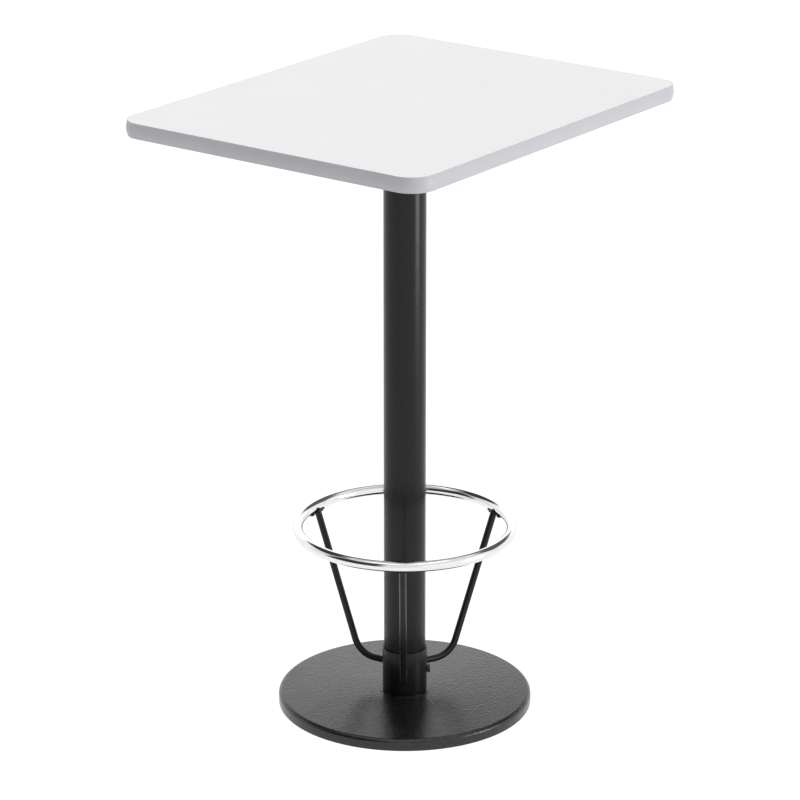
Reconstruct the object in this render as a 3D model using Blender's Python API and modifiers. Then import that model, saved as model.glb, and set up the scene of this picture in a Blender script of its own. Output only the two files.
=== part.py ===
"""Bar-height bistro table: a laminate top on a round steel column, with a cast base and a foot ring.

Row frame, in metres: the origin is on the floor under the column, X runs along the top's long
side, Y along its short side and +Z is up. The table stands on its four levelling glides.
"""

from math import asin, cos, pi, radians, sin, tan

import bmesh
import bpy
from mathutils import Matrix, Vector

MM = 0.001
GAP = 0.3 * MM  # clearance kept between pieces that touch on the real table
MERGE = 0.00001

# Table top
TOP_LENGTH = 762 * MM
TOP_WIDTH = 609.6 * MM
TOP_SURFACE_Z = 1095 * MM
TOP_THICKNESS = 26 * MM
TOP_CORNER_RADIUS = 42 * MM
LAMINATE_THICKNESS = 0.8 * MM
BACKER_THICKNESS = 0.6 * MM
CORNER_STEPS = 8

# Edge moulding: a T section, its head outside the board and its barbed tongue in a routed slot
MOULD_LIP = 0.5 * MM
MOULD_CROWN = 2.3 * MM
MOULD_ARC_STEPS = 4
TONGUE_DEPTH = 8 * MM
TONGUE_HALF = 1.1 * MM
BARB_HALF = 1.5 * MM
SLOT_DEPTH = 9 * MM
SLOT_HEIGHT = 3.8 * MM
CUT_PAST = 1 * MM  # how far a cutter runs past the face it cuts

# Base
GLIDE_HEIGHT = 8 * MM
BASE_RADIUS = 222 * MM
BASE_TOP = GLIDE_HEIGHT + 20.5 * MM
BASE_SHOULDER_RADIUS = 7 * MM
BASE_WALL = 6 * MM
BASE_RIM_WIDTH = 8 * MM
BASE_HUB_RADIUS = 50 * MM
BASE_HUB_DRAFT = 3 * MM
BASE_HUB_BOTTOM = GLIDE_HEIGHT + 0.5 * MM
BOSS_RADIUS = 44 * MM
BOSS_FOOT_RADIUS = 44.5 * MM
BOSS_HEIGHT = 1 * MM
BOSS_EDGE = 0.3 * MM
SOCKET_DEPTH = 4.5 * MM
SOCKET_WALL = 5 * MM  # metal between the column's socket and the nut's recess
RIB_COUNT = 8
RIB_WIDTH = 5 * MM
RIB_BOTTOM = GLIDE_HEIGHT + 3 * MM
BASE_STEPS = 48

# Levelling glides
GLIDE_COUNT = 4
GLIDE_CIRCLE = 182 * MM
GLIDE_FIRST_ANGLE = radians(45)
GLIDE_FOOT_RADIUS = 15 * MM
GLIDE_FOOT_EDGE = 1.2 * MM
GLIDE_FOOT_HEIGHT = 4.6 * MM
GLIDE_NECK_RADIUS = 8 * MM
GLIDE_NECK_BOTTOM = 6 * MM
GLIDE_STUD_RADIUS = 4 * MM
STUD_CHAMFER = 0.6 * MM
LUG_RADIUS = 11 * MM
LUG_HOLE_TOP = BASE_TOP - 8 * MM

# Column and the rod that clamps the table together
COLUMN_RADIUS = 36.5 * MM
COLUMN_WALL = 1.5 * MM
COLUMN_CHAMFER = 0.4 * MM
COLUMN_STEPS = 48
ROD_RADIUS = 6 * MM
ROD_HOLE_RADIUS = ROD_RADIUS + 0.6 * MM
NUT_FLATS = 19 * MM
TOP_NUT_HEIGHT = 10 * MM
BASE_NUT_HEIGHT = 6.5 * MM
WASHER_RADIUS = 14 * MM
WASHER_THICKNESS = 2.5 * MM
WASHER_CHAMFER = 0.3 * MM
ROD_STAND_OUT = 0.5 * MM
NUT_RECESS_RADIUS = 17 * MM

# Mounting spider under the top
SPIDER_PLATE = 5 * MM
SPIDER_HUB_RADIUS = 43 * MM
SPIDER_HUB_HEIGHT = 16 * MM
SPIDER_HUB_CHAMFER = 2 * MM
SPIDER_RECESS_DEPTH = 13.5 * MM
SPIGOT_LENGTH = 20 * MM
SPIDER_ARM_START = 23 * MM
SPIDER_ARM_REACH = 150 * MM
SPIDER_ARM_ROOT_HALF = 22 * MM
SPIDER_ARM_TIP_HALF = 14 * MM
SPIDER_ARM_COUNT = 4
SPIDER_FIRST_ANGLE = radians(45)
SPIDER_RIB_HALF = 2.5 * MM
SPIDER_RIB_DEPTH = 10 * MM
SPIDER_RIB_TIP = 1 * MM
SPIDER_RIB_END = 92 * MM
SCREW_STATIONS = (104 * MM, 138 * MM)
SCREW_RADIUS = 2.4 * MM
SCREW_LENGTH = 19 * MM
SCREW_TIP = 5 * MM
PILOT_SPARE = 2 * MM
SCREW_HEAD_RADIUS = 4.6 * MM
SCREW_HEAD_HEIGHT = 2.6 * MM

# Foot ring and the collar that carries it
COLLAR_RADIUS = 39 * MM
COLLAR_BORE = COLUMN_RADIUS + GAP
COLLAR_HEIGHT = 76.2 * MM
COLLAR_BOTTOM = GLIDE_HEIGHT + 24.4 * MM
COLLAR_CHAMFER = 0.5 * MM
RING_RADIUS = 186.3 * MM
RING_TUBE_RADIUS = 9.525 * MM
RING_TUBE_WALL = 1.5 * MM
RING_Z = GLIDE_HEIGHT + 325.5 * MM
RING_STEPS = 60
RING_TUBE_STEPS = 10
RING_HOLLOW_STEPS = 6
ARM_COUNT = 3
ARM_FIRST_ANGLE = radians(95.2)
ARM_RADIUS = 6 * MM
ARM_LEVEL_Z = GLIDE_HEIGHT + 64.8 * MM
ARM_CORNER = 93 * MM  # distance from the axis where the level run and the slope would meet
ARM_SLOPE = radians(71.3)
ARM_BEND_RADIUS = 42 * MM
ARM_BEND_STEPS = 8
SADDLE_LENGTH = 42 * MM
SADDLE_THICKNESS = 2 * MM
SADDLE_HALF_ANGLE = radians(32)
SADDLE_TURN = radians(20)  # from where a rod aims towards the tube's underside
SADDLE_SCREW_OFFSET = 14.5 * MM
SADDLE_SCREW_RADIUS = 2 * MM
SADDLE_SCREW_HEAD = 3.2 * MM
SADDLE_SCREW_HEAD_HEIGHT = 1.8 * MM
SADDLE_SCREW_REACH = 5 * MM  # from the tube's centre to the screw's tip
SADDLE_SCREW_TIP = 1 * MM

# Set screw that clamps the collar to the column
SET_SCREW_ANGLE = radians(307.1)
SET_SCREW_Z = GLIDE_HEIGHT + 58 * MM
SET_SCREW_RADIUS = 4 * MM
SET_SCREW_FLATS = 13 * MM
SET_SCREW_HEAD_HEIGHT = 5.4 * MM

# Heights that follow from the sizes above
TOP_UNDERSIDE_Z = TOP_SURFACE_Z - TOP_THICKNESS
CORE_TOP = TOP_SURFACE_Z - LAMINATE_THICKNESS - GAP
CORE_BOTTOM = TOP_UNDERSIDE_Z + BACKER_THICKNESS + GAP
CORE_MIDDLE = TOP_SURFACE_Z - TOP_THICKNESS / 2
SPIDER_TOP = TOP_UNDERSIDE_Z - GAP
SPIDER_HUB_BOTTOM = SPIDER_TOP - SPIDER_HUB_HEIGHT
SPIDER_RECESS_FLOOR = SPIDER_TOP - SPIDER_RECESS_DEPTH
SOCKET_FLOOR = BASE_TOP - SOCKET_DEPTH
COLUMN_BOTTOM = SOCKET_FLOOR + GAP
COLUMN_TOP = SPIDER_HUB_BOTTOM - GAP
BOSS_TOP = BASE_TOP + BOSS_HEIGHT
BASE_RECESS_ROOF = SOCKET_FLOOR - SOCKET_WALL
BASE_NUT_TOP = BASE_RECESS_ROOF - GAP - WASHER_THICKNESS - GAP

PARTS = bpy.data.collections.new("bistro_table")
CUTTERS = bpy.data.collections.new("cutters")


def clear_scene():
    for old in list(bpy.data.objects):
        bpy.data.objects.remove(old)
    for collection in (PARTS, CUTTERS):
        bpy.context.scene.collection.children.link(collection)


def make_material(name, colour, roughness, metallic=0.0):
    material = bpy.data.materials.new(name)
    material.use_nodes = True
    shader = material.node_tree.nodes["Principled BSDF"]
    shader.inputs["Base Color"].default_value = (*colour, 1)
    shader.inputs["Roughness"].default_value = roughness
    shader.inputs["Metallic"].default_value = metallic
    return material


def make_materials():
    return {
        "laminate": make_material("laminate", (0.86, 0.86, 0.87), 0.45),
        "backer": make_material("backer", (0.60, 0.59, 0.57), 0.7),
        "edge": make_material("edge", (0.48, 0.48, 0.53), 0.4),
        "particleboard": make_material("particleboard", (0.50, 0.36, 0.22), 0.85),
        "black_metal": make_material("black_metal", (0.02, 0.02, 0.021), 0.5, 0.3),
        "chrome": make_material("chrome", (0.85, 0.85, 0.86), 0.08, 1.0),
        "zinc": make_material("zinc", (0.55, 0.55, 0.56), 0.35, 1.0),
        "nylon": make_material("nylon", (0.03, 0.03, 0.03), 0.6),
    }


def add(name, data, material=None, matrix=None):
    """Links an object into the table's collection, placed by a matrix."""
    obj = bpy.data.objects.new(name, data)
    PARTS.objects.link(obj)
    if material and not data.materials:
        data.materials.append(material)
    obj.matrix_world = matrix or Matrix.Identity(4)
    return obj


def as_cutter(obj):
    PARTS.objects.unlink(obj)
    CUTTERS.objects.link(obj)
    obj.hide_render = True
    obj.display_type = "WIRE"
    return obj


def boolean(target, tool, operation="DIFFERENCE"):
    """Cuts the target with a tool, or joins the tool to it."""
    if tool.name not in CUTTERS.objects:
        as_cutter(tool)
    modifier = target.modifiers.new(tool.name, "BOOLEAN")
    modifier.operation = operation
    modifier.object = tool
    return modifier


def turned(name, profile, material=None, steps=16, closed=False, angle=2 * pi, matrix=None):
    """A turned piece: profile points (radius, height), running down the outer side."""
    mesh = bpy.data.meshes.new(name)
    count = len(profile)
    edges = [(i, i + 1) for i in range(count - 1)]
    if closed:
        edges.append((count - 1, 0))
    mesh.from_pydata([(r, 0, z) for r, z in profile], edges, [])
    obj = add(name, mesh, material, matrix)
    screw = obj.modifiers.new("turn", "SCREW")
    screw.angle = angle
    screw.steps = steps
    screw.render_steps = steps
    screw.use_merge_vertices = angle == 2 * pi
    screw.merge_threshold = MERGE
    screw.use_smooth_shade = True
    return obj


def primitive(name, make, material=None, matrix=None, **sizes):
    """An object from one of bmesh's closed primitives."""
    mesh = bpy.data.meshes.new(name)
    form = bmesh.new()
    make(form, **sizes)
    form.to_mesh(mesh)
    form.free()
    return add(name, mesh, material, matrix)


def cylinder(name, radius, bottom, top, material=None, steps=16, matrix=None):
    shift = Matrix.Translation((0, 0, (bottom + top) / 2))
    return primitive(
        name,
        bmesh.ops.create_cone,
        material,
        (matrix or Matrix.Identity(4)) @ shift,
        cap_ends=True,
        segments=steps,
        radius1=radius,
        radius2=radius,
        depth=top - bottom,
    )


def block(name, low, high, matrix=None):
    size = Vector(high) - Vector(low)
    middle = (Vector(high) + Vector(low)) / 2
    shift = Matrix.Translation(middle) @ Matrix.Diagonal((*size, 1))
    obj = primitive(name, bmesh.ops.create_cube, size=1)
    obj.data.transform(shift)
    obj.matrix_world = matrix or Matrix.Identity(4)
    return obj


def turn_about_column(angle):
    return Matrix.Rotation(angle, 4, "Z")


def curve_mesh(name, curve, material=None, matrix=None):
    """The closed mesh of a curve, its caps welded to its sides."""
    guide = bpy.data.objects.new(name + "_guide", curve)
    PARTS.objects.link(guide)
    bpy.context.view_layer.update()
    evaluated = guide.evaluated_get(bpy.context.evaluated_depsgraph_get())
    mesh = bpy.data.meshes.new_from_object(evaluated)
    form = bmesh.new()
    form.from_mesh(mesh)
    bmesh.ops.remove_doubles(form, verts=form.verts, dist=MERGE)
    form.to_mesh(mesh)
    form.free()
    mesh.materials.clear()
    obj = add(name, mesh, material, matrix)
    bpy.data.objects.remove(guide)
    return obj


def poly_curve(name, points, flat, cyclic):
    curve = bpy.data.curves.new(name, "CURVE")
    curve.dimensions = "2D" if flat else "3D"
    spline = curve.splines.new("POLY")
    spline.points.add(len(points) - 1)
    for point, place in zip(spline.points, points):
        point.co = (*place, 0, 1) if len(place) == 2 else (*place, 1)
    spline.use_cyclic_u = cyclic
    return curve


def slab(name, outline, bottom, top, material=None, matrix=None):
    """A flat piece: its outline in X and Y, extruded from bottom to top."""
    curve = poly_curve(name, outline, flat=True, cyclic=True)
    curve.fill_mode = "BOTH"
    curve.extrude = (top - bottom) / 2
    obj = curve_mesh(name, curve, material)
    obj.data.transform(Matrix.Translation((0, 0, (top + bottom) / 2)))
    obj.matrix_world = matrix or Matrix.Identity(4)
    return obj


def arc(centre, radius, start, end, steps):
    """Points (x, y) along an arc, both ends included."""
    turn = (end - start) / steps
    return [
        (centre[0] + radius * cos(start + i * turn), centre[1] + radius * sin(start + i * turn))
        for i in range(steps + 1)
    ]


def board_outline(outset):
    """The top's rounded rectangle, moved out from the moulding's rim by outset."""
    half_x = TOP_LENGTH / 2 - TOP_CORNER_RADIUS
    half_y = TOP_WIDTH / 2 - TOP_CORNER_RADIUS
    corners = ((half_x, half_y), (-half_x, half_y), (-half_x, -half_y), (half_x, -half_y))
    points = []
    for i, corner in enumerate(corners):
        start = i * pi / 2
        points += arc(corner, TOP_CORNER_RADIUS + outset, start, start + pi / 2, CORNER_STEPS)
    return points


def drill(target, name, radius, bottom, top, matrix=None, steps=16):
    boolean(target, cylinder(name, radius, bottom, top, steps=steps, matrix=matrix))


def mould_profile():
    """The moulding's section: x out from the board's edge, y up from the board's middle."""
    half = TOP_THICKNESS / 2
    bulge = (half * half + MOULD_CROWN * MOULD_CROWN) / (2 * MOULD_CROWN)
    sweep = asin(half / bulge)
    centre = (MOULD_LIP + MOULD_CROWN - bulge, 0)
    face = arc(centre, bulge, -sweep, sweep, MOULD_ARC_STEPS)
    tongue = [
        (0, TONGUE_HALF),
        (-0.5 * TONGUE_DEPTH, TONGUE_HALF),
        (-0.5 * TONGUE_DEPTH, BARB_HALF),
        (-TONGUE_DEPTH, 0.6 * TONGUE_HALF),
        (-TONGUE_DEPTH, -0.6 * TONGUE_HALF),
        (-0.5 * TONGUE_DEPTH, -BARB_HALF),
        (-0.5 * TONGUE_DEPTH, -TONGUE_HALF),
        (0, -TONGUE_HALF),
    ]
    return [*face, (0, half), *tongue, (0, -half)]


def make_edge_moulding(material):
    path = poly_curve("edge_path", board_outline(-MOULD_LIP), flat=True, cyclic=True)
    inward = [(-x, y) for x, y in mould_profile()]  # a bevel section's X points inside the path
    section = poly_curve("edge_section", inward, flat=True, cyclic=True)
    section_object = as_cutter(add("edge_section", section))
    path.bevel_mode = "OBJECT"
    path.bevel_object = section_object
    moulding = curve_mesh("edge_moulding", path, material)
    moulding.data.transform(Matrix.Translation((0, 0, CORE_MIDDLE)))
    return moulding


def screw_places():
    """Where the wood screws stand, as matrices whose Z axis is the screw's."""
    places = []
    for i in range(SPIDER_ARM_COUNT):
        turn = turn_about_column(SPIDER_FIRST_ANGLE + i * 2 * pi / SPIDER_ARM_COUNT)
        places += [turn @ Matrix.Translation((station, 0, 0)) for station in SCREW_STATIONS]
    return places


def make_top(materials):
    board = board_outline(-MOULD_LIP - GAP)
    core = slab("top_core", board, CORE_BOTTOM, CORE_TOP, materials["particleboard"])
    slot_low = CORE_MIDDLE - SLOT_HEIGHT / 2
    slot_high = CORE_MIDDLE + SLOT_HEIGHT / 2
    slot = slab("slot_cutter", board_outline(CUT_PAST), slot_low, slot_high)
    island = slab("slot_island", board_outline(-MOULD_LIP - GAP - SLOT_DEPTH), 0, TOP_SURFACE_Z)
    boolean(slot, island)
    boolean(core, slot)
    slab("top_laminate", board, TOP_SURFACE_Z - LAMINATE_THICKNESS, TOP_SURFACE_Z, materials["laminate"])
    backer = slab(
        "backer_sheet", board, TOP_UNDERSIDE_Z, TOP_UNDERSIDE_Z + BACKER_THICKNESS, materials["backer"]
    )
    make_edge_moulding(materials["edge"])
    hole_top = SPIDER_TOP - SPIDER_PLATE + SCREW_LENGTH + PILOT_SPARE
    for i, place in enumerate(screw_places(), 1):
        hole = cylinder(
            f"pilot_{i}", SCREW_RADIUS + GAP, SPIDER_TOP - CUT_PAST, hole_top, steps=8, matrix=place
        )
        boolean(core, hole)
        boolean(backer, hole)


def make_wood_screws(material):
    head = SPIDER_TOP - SPIDER_PLATE - GAP
    tip = head + SCREW_LENGTH
    profile = [
        (0, tip),
        (SCREW_RADIUS, tip - SCREW_TIP),
        (SCREW_RADIUS, head),
        (SCREW_HEAD_RADIUS, head),
        (SCREW_HEAD_RADIUS * 0.8, head - 0.7 * SCREW_HEAD_HEIGHT),
        (SCREW_HEAD_RADIUS * 0.4, head - SCREW_HEAD_HEIGHT),
        (0, head - SCREW_HEAD_HEIGHT),
    ]
    for i, place in enumerate(screw_places(), 1):
        turned(f"wood_screw_{i}", profile, material, steps=10, matrix=place)


def make_spider(material):
    spigot_radius = COLUMN_RADIUS - COLUMN_WALL - GAP
    hub_profile = [
        (ROD_HOLE_RADIUS, SPIDER_RECESS_FLOOR),
        (NUT_RECESS_RADIUS, SPIDER_RECESS_FLOOR),
        (NUT_RECESS_RADIUS, SPIDER_TOP),
        (SPIDER_HUB_RADIUS, SPIDER_TOP),
        (SPIDER_HUB_RADIUS, SPIDER_HUB_BOTTOM + SPIDER_HUB_CHAMFER),
        (SPIDER_HUB_RADIUS - SPIDER_HUB_CHAMFER, SPIDER_HUB_BOTTOM),
        (spigot_radius, SPIDER_HUB_BOTTOM),
        (spigot_radius, SPIDER_HUB_BOTTOM - SPIGOT_LENGTH),
        (ROD_HOLE_RADIUS, SPIDER_HUB_BOTTOM - SPIGOT_LENGTH),
    ]
    spider = turned("mounting_spider", hub_profile, material, steps=32, closed=True)
    root = SPIDER_ARM_START
    tip_centre = SPIDER_ARM_REACH - SPIDER_ARM_TIP_HALF
    tip = arc((tip_centre, 0), SPIDER_ARM_TIP_HALF, -pi / 2, pi / 2, 6)
    arm_outline = [(root, SPIDER_ARM_ROOT_HALF), (root, -SPIDER_ARM_ROOT_HALF), *tip]
    plate_bottom = SPIDER_TOP - SPIDER_PLATE
    rib_top = SPIDER_TOP - SPIDER_PLATE / 2
    rib_side = [
        (root, rib_top),
        (root, plate_bottom - SPIDER_RIB_DEPTH),
        (SPIDER_HUB_RADIUS + SPIDER_HUB_CHAMFER, plate_bottom - SPIDER_RIB_DEPTH),
        (SPIDER_RIB_END, plate_bottom - SPIDER_RIB_TIP),
        (SPIDER_RIB_END, rib_top),
    ]
    stand_up = Matrix.Rotation(pi / 2, 4, "X")
    for i in range(SPIDER_ARM_COUNT):
        turn = turn_about_column(SPIDER_FIRST_ANGLE + i * 2 * pi / SPIDER_ARM_COUNT)
        arm = slab(f"spider_arm_{i + 1}", arm_outline, plate_bottom, SPIDER_TOP, matrix=turn)
        rib = slab(
            f"spider_rib_{i + 1}", rib_side, -SPIDER_RIB_HALF, SPIDER_RIB_HALF, matrix=turn @ stand_up
        )
        boolean(spider, arm, "UNION")
        boolean(spider, rib, "UNION")
    for i, place in enumerate(screw_places(), 1):
        low = plate_bottom - CUT_PAST
        high = SPIDER_TOP + CUT_PAST
        drill(spider, f"spider_hole_{i}", SCREW_RADIUS + GAP, low, high, place, 8)


def ring_profile(inner, outer, bottom, top, chamfer=0.0):
    """A square ring's section, with its outer corners chamfered."""
    return [
        (inner, top),
        (outer - chamfer, top),
        (outer, top - chamfer),
        (outer, bottom + chamfer),
        (outer - chamfer, bottom),
        (inner, bottom),
    ]


def make_column(material):
    inner = COLUMN_RADIUS - COLUMN_WALL
    profile = ring_profile(inner, COLUMN_RADIUS, COLUMN_BOTTOM, COLUMN_TOP, COLUMN_CHAMFER)
    turned("column_tube", profile, material, COLUMN_STEPS, closed=True)


def make_nut(name, bottom, top, material):
    nut = cylinder(name, NUT_FLATS / 2 / cos(pi / 6), bottom, top, material, steps=6)
    drill(nut, name + "_bore", ROD_RADIUS + GAP, bottom - CUT_PAST, top + CUT_PAST)


def make_washer(name, bottom, material):
    top = bottom + WASHER_THICKNESS
    profile = ring_profile(ROD_RADIUS + GAP, WASHER_RADIUS, bottom, top, WASHER_CHAMFER)
    turned(name, profile, material, steps=20, closed=True)


def make_tie_rod(material):
    washer_bottom = SPIDER_RECESS_FLOOR + GAP
    nut_bottom = washer_bottom + WASHER_THICKNESS + GAP
    nut_top = min(nut_bottom + TOP_NUT_HEIGHT, SPIDER_TOP - GAP)
    make_washer("tie_rod_top_washer", washer_bottom, material)
    make_nut("tie_rod_top_nut", nut_bottom, nut_top, material)
    make_washer("tie_rod_base_washer", BASE_NUT_TOP + GAP, material)
    base_nut_bottom = BASE_NUT_TOP - BASE_NUT_HEIGHT
    make_nut("tie_rod_base_nut", base_nut_bottom, BASE_NUT_TOP, material)
    cylinder("tie_rod", ROD_RADIUS, base_nut_bottom - ROD_STAND_OUT, nut_top, material)


def base_profile():
    """The base's section: the boss, flat, round shoulder and side, then its hollow underside."""
    shoulder_centre = (BASE_RADIUS - BASE_SHOULDER_RADIUS, BASE_TOP - BASE_SHOULDER_RADIUS)
    shoulder = arc(shoulder_centre, BASE_SHOULDER_RADIUS, pi / 2, 0, 6)
    wall_bottom = BASE_TOP - BASE_WALL
    return [
        (ROD_HOLE_RADIUS, SOCKET_FLOOR),
        (COLUMN_RADIUS + GAP, SOCKET_FLOOR),
        (COLUMN_RADIUS + GAP, BOSS_TOP),
        (BOSS_RADIUS - BOSS_EDGE, BOSS_TOP),
        (BOSS_RADIUS, BOSS_TOP - BOSS_EDGE),
        (BOSS_FOOT_RADIUS, BASE_TOP),
        *shoulder,
        (BASE_RADIUS, GLIDE_HEIGHT),
        (BASE_RADIUS - BASE_RIM_WIDTH, GLIDE_HEIGHT),
        (BASE_RADIUS - BASE_RIM_WIDTH, wall_bottom),
        (BASE_HUB_RADIUS, wall_bottom),
        (BASE_HUB_RADIUS - BASE_HUB_DRAFT, BASE_HUB_BOTTOM),
        (NUT_RECESS_RADIUS, BASE_HUB_BOTTOM),
        (NUT_RECESS_RADIUS, BASE_RECESS_ROOF),
        (ROD_HOLE_RADIUS, BASE_RECESS_ROOF),
    ]


def glide_places():
    return [
        turn_about_column(GLIDE_FIRST_ANGLE + i * 2 * pi / GLIDE_COUNT)
        @ Matrix.Translation((GLIDE_CIRCLE, 0, 0))
        for i in range(GLIDE_COUNT)
    ]


def make_base(material):
    base = turned("base_plate", base_profile(), material, BASE_STEPS, closed=True)
    union_top = BASE_TOP - BASE_WALL / 2
    inner = BASE_HUB_RADIUS - 2 * BASE_HUB_DRAFT
    outer = BASE_RADIUS - BASE_RIM_WIDTH / 2
    for i in range(RIB_COUNT):
        rib = block(
            f"base_rib_{i + 1}",
            (inner, -RIB_WIDTH / 2, RIB_BOTTOM),
            (outer, RIB_WIDTH / 2, union_top),
            turn_about_column(GLIDE_FIRST_ANGLE + i * 2 * pi / RIB_COUNT),
        )
        boolean(base, rib, "UNION")
    for i, place in enumerate(glide_places(), 1):
        lug = cylinder(f"base_lug_{i}", LUG_RADIUS, GLIDE_HEIGHT, union_top, steps=16, matrix=place)
        boolean(base, lug, "UNION")
    for i, place in enumerate(glide_places(), 1):
        low = GLIDE_HEIGHT - CUT_PAST
        drill(base, f"lug_hole_{i}", GLIDE_STUD_RADIUS + GAP, low, LUG_HOLE_TOP, place, 12)


def make_glides(material):
    foot_top = GLIDE_HEIGHT - GAP
    profile = [
        (0, LUG_HOLE_TOP - GAP),
        (GLIDE_STUD_RADIUS - STUD_CHAMFER, LUG_HOLE_TOP - GAP),
        (GLIDE_STUD_RADIUS, LUG_HOLE_TOP - GAP - STUD_CHAMFER),
        (GLIDE_STUD_RADIUS, foot_top),
        (GLIDE_NECK_RADIUS, foot_top),
        (GLIDE_NECK_RADIUS, GLIDE_NECK_BOTTOM),
        (GLIDE_FOOT_RADIUS, GLIDE_FOOT_HEIGHT),
        (GLIDE_FOOT_RADIUS, GLIDE_FOOT_EDGE),
        (GLIDE_FOOT_RADIUS - GLIDE_FOOT_EDGE, 0),
        (0, 0),
    ]
    for i, place in enumerate(glide_places(), 1):
        turned(f"glide_{i}", profile, material, steps=12, matrix=place)


def arm_path():
    """The rod's centre line, x out from the column and z up: level run, bend, slope."""
    run_out = ARM_CORNER - ARM_BEND_RADIUS * tan(ARM_SLOPE / 2)
    centre = (run_out, ARM_LEVEL_Z + ARM_BEND_RADIUS)
    bend = arc(centre, ARM_BEND_RADIUS, -pi / 2, ARM_SLOPE - pi / 2, ARM_BEND_STEPS)
    rise = RING_Z - ARM_LEVEL_Z
    end = (ARM_CORNER + rise / tan(ARM_SLOPE), RING_Z)
    start = (COLLAR_BORE, ARM_LEVEL_Z)
    return [(x, 0, z) for x, z in [start, *bend, end]]


def saddle_direction():
    """Angle, in the tube's section, of a saddle's middle: below where a rod's axis meets the tube."""
    miss = (RING_RADIUS - arm_path()[-1][0]) * sin(ARM_SLOPE)
    return pi + ARM_SLOPE - asin(miss / RING_TUBE_RADIUS) + SADDLE_TURN


def saddle_screw_places():
    """Matrices with Z from the tube's centre out through a saddle, at the tube's centre."""
    places = []
    tilt = saddle_direction()
    outward = Vector((cos(tilt), 0, sin(tilt)))
    tube_centre = Matrix.Translation((RING_RADIUS, 0, RING_Z))
    lean = outward.to_track_quat("Z", "Y").to_matrix().to_4x4()
    for i in range(ARM_COUNT):
        arm_angle = ARM_FIRST_ANGLE + i * 2 * pi / ARM_COUNT
        for side in (-1, 1):
            turn = turn_about_column(arm_angle + side * SADDLE_SCREW_OFFSET / RING_RADIUS)
            places.append(turn @ tube_centre @ lean)
    return places


def torus(name, tube_radius, steps, tube_steps, material=None):
    bpy.ops.mesh.primitive_torus_add(
        major_radius=RING_RADIUS,
        minor_radius=tube_radius,
        major_segments=steps,
        minor_segments=tube_steps,
    )
    made = bpy.context.object
    mesh = made.data
    bpy.data.objects.remove(made)
    obj = add(name, mesh, material, Matrix.Translation((0, 0, RING_Z)))
    mesh.shade_smooth()
    return obj


def make_foot_ring(material):
    """The plated tube, hollow, with the saddle screws' holes through its wall."""
    ring = torus("foot_ring", RING_TUBE_RADIUS, RING_STEPS, RING_TUBE_STEPS, material)
    hollow = torus("ring_hollow", RING_TUBE_RADIUS - RING_TUBE_WALL, RING_STEPS, RING_HOLLOW_STEPS)
    boolean(ring, hollow)
    for i, place in enumerate(saddle_screw_places(), 1):
        low = RING_TUBE_RADIUS / 3
        high = RING_TUBE_RADIUS + CUT_PAST
        drill(ring, f"ring_hole_{i}", SADDLE_SCREW_RADIUS + GAP, low, high, place, 8)


def make_saddles(material):
    """Bent straps that hug the tube where the rods reach it."""
    tilt = saddle_direction()
    start = tilt + SADDLE_HALF_ANGLE
    end = tilt - SADDLE_HALF_ANGLE
    section = arc((RING_RADIUS, RING_Z), RING_TUBE_RADIUS + GAP, start, end, 6)
    sweep = SADDLE_LENGTH / RING_RADIUS
    screws = saddle_screw_places()
    for i in range(ARM_COUNT):
        turn = turn_about_column(ARM_FIRST_ANGLE + i * 2 * pi / ARM_COUNT - sweep / 2)
        name = f"ring_saddle_{i + 1}"
        saddle = turned(name, section, material, steps=6, angle=sweep, matrix=turn)
        shell = saddle.modifiers.new("thickness", "SOLIDIFY")
        shell.thickness = SADDLE_THICKNESS
        shell.offset = 1
        low = RING_TUBE_RADIUS - CUT_PAST
        high = RING_TUBE_RADIUS + GAP + SADDLE_THICKNESS + CUT_PAST
        for side in (0, 1):
            hole = f"{name}_hole_{side + 1}"
            drill(saddle, hole, SADDLE_SCREW_RADIUS + GAP, low, high, screws[2 * i + side], 8)


def make_saddle_screws(material):
    seat = RING_TUBE_RADIUS + GAP + SADDLE_THICKNESS + GAP
    head_top = seat + SADDLE_SCREW_HEAD_HEIGHT
    profile = [
        (0, head_top),
        (0.5 * SADDLE_SCREW_HEAD, head_top),
        (SADDLE_SCREW_HEAD, seat + 0.3 * SADDLE_SCREW_HEAD_HEIGHT),
        (SADDLE_SCREW_HEAD, seat),
        (SADDLE_SCREW_RADIUS, seat),
        (SADDLE_SCREW_RADIUS, SADDLE_SCREW_REACH),
        (0, SADDLE_SCREW_REACH - SADDLE_SCREW_TIP),
    ]
    for i, place in enumerate(saddle_screw_places(), 1):
        turned(f"saddle_screw_{i}", profile, material, steps=10, matrix=place)


def make_arms(material):
    """Bent rods, coped at one end to the collar and at the other to the saddle."""
    saddle_outer = RING_TUBE_RADIUS + GAP + SADDLE_THICKNESS + GAP
    saddle_cope = as_cutter(torus("saddle_cope", saddle_outer, 72, 16))
    collar_cope = as_cutter(
        cylinder("collar_cope", COLLAR_RADIUS + GAP, COLLAR_BOTTOM, ARM_LEVEL_Z * 2, steps=48)
    )
    for i in range(ARM_COUNT):
        curve = poly_curve("rod", arm_path(), flat=False, cyclic=False)
        curve.bevel_depth = ARM_RADIUS
        curve.bevel_resolution = 3
        curve.use_fill_caps = True
        turn = turn_about_column(ARM_FIRST_ANGLE + i * 2 * pi / ARM_COUNT)
        rod = curve_mesh(f"ring_arm_{i + 1}", curve, material, turn)
        boolean(rod, saddle_cope)
        boolean(rod, collar_cope)


def set_screw_matrix():
    """Z points out of the collar along the set screw's axis."""
    return (
        turn_about_column(SET_SCREW_ANGLE)
        @ Matrix.Translation((0, 0, SET_SCREW_Z))
        @ Matrix.Rotation(pi / 2, 4, "Y")
    )


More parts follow.
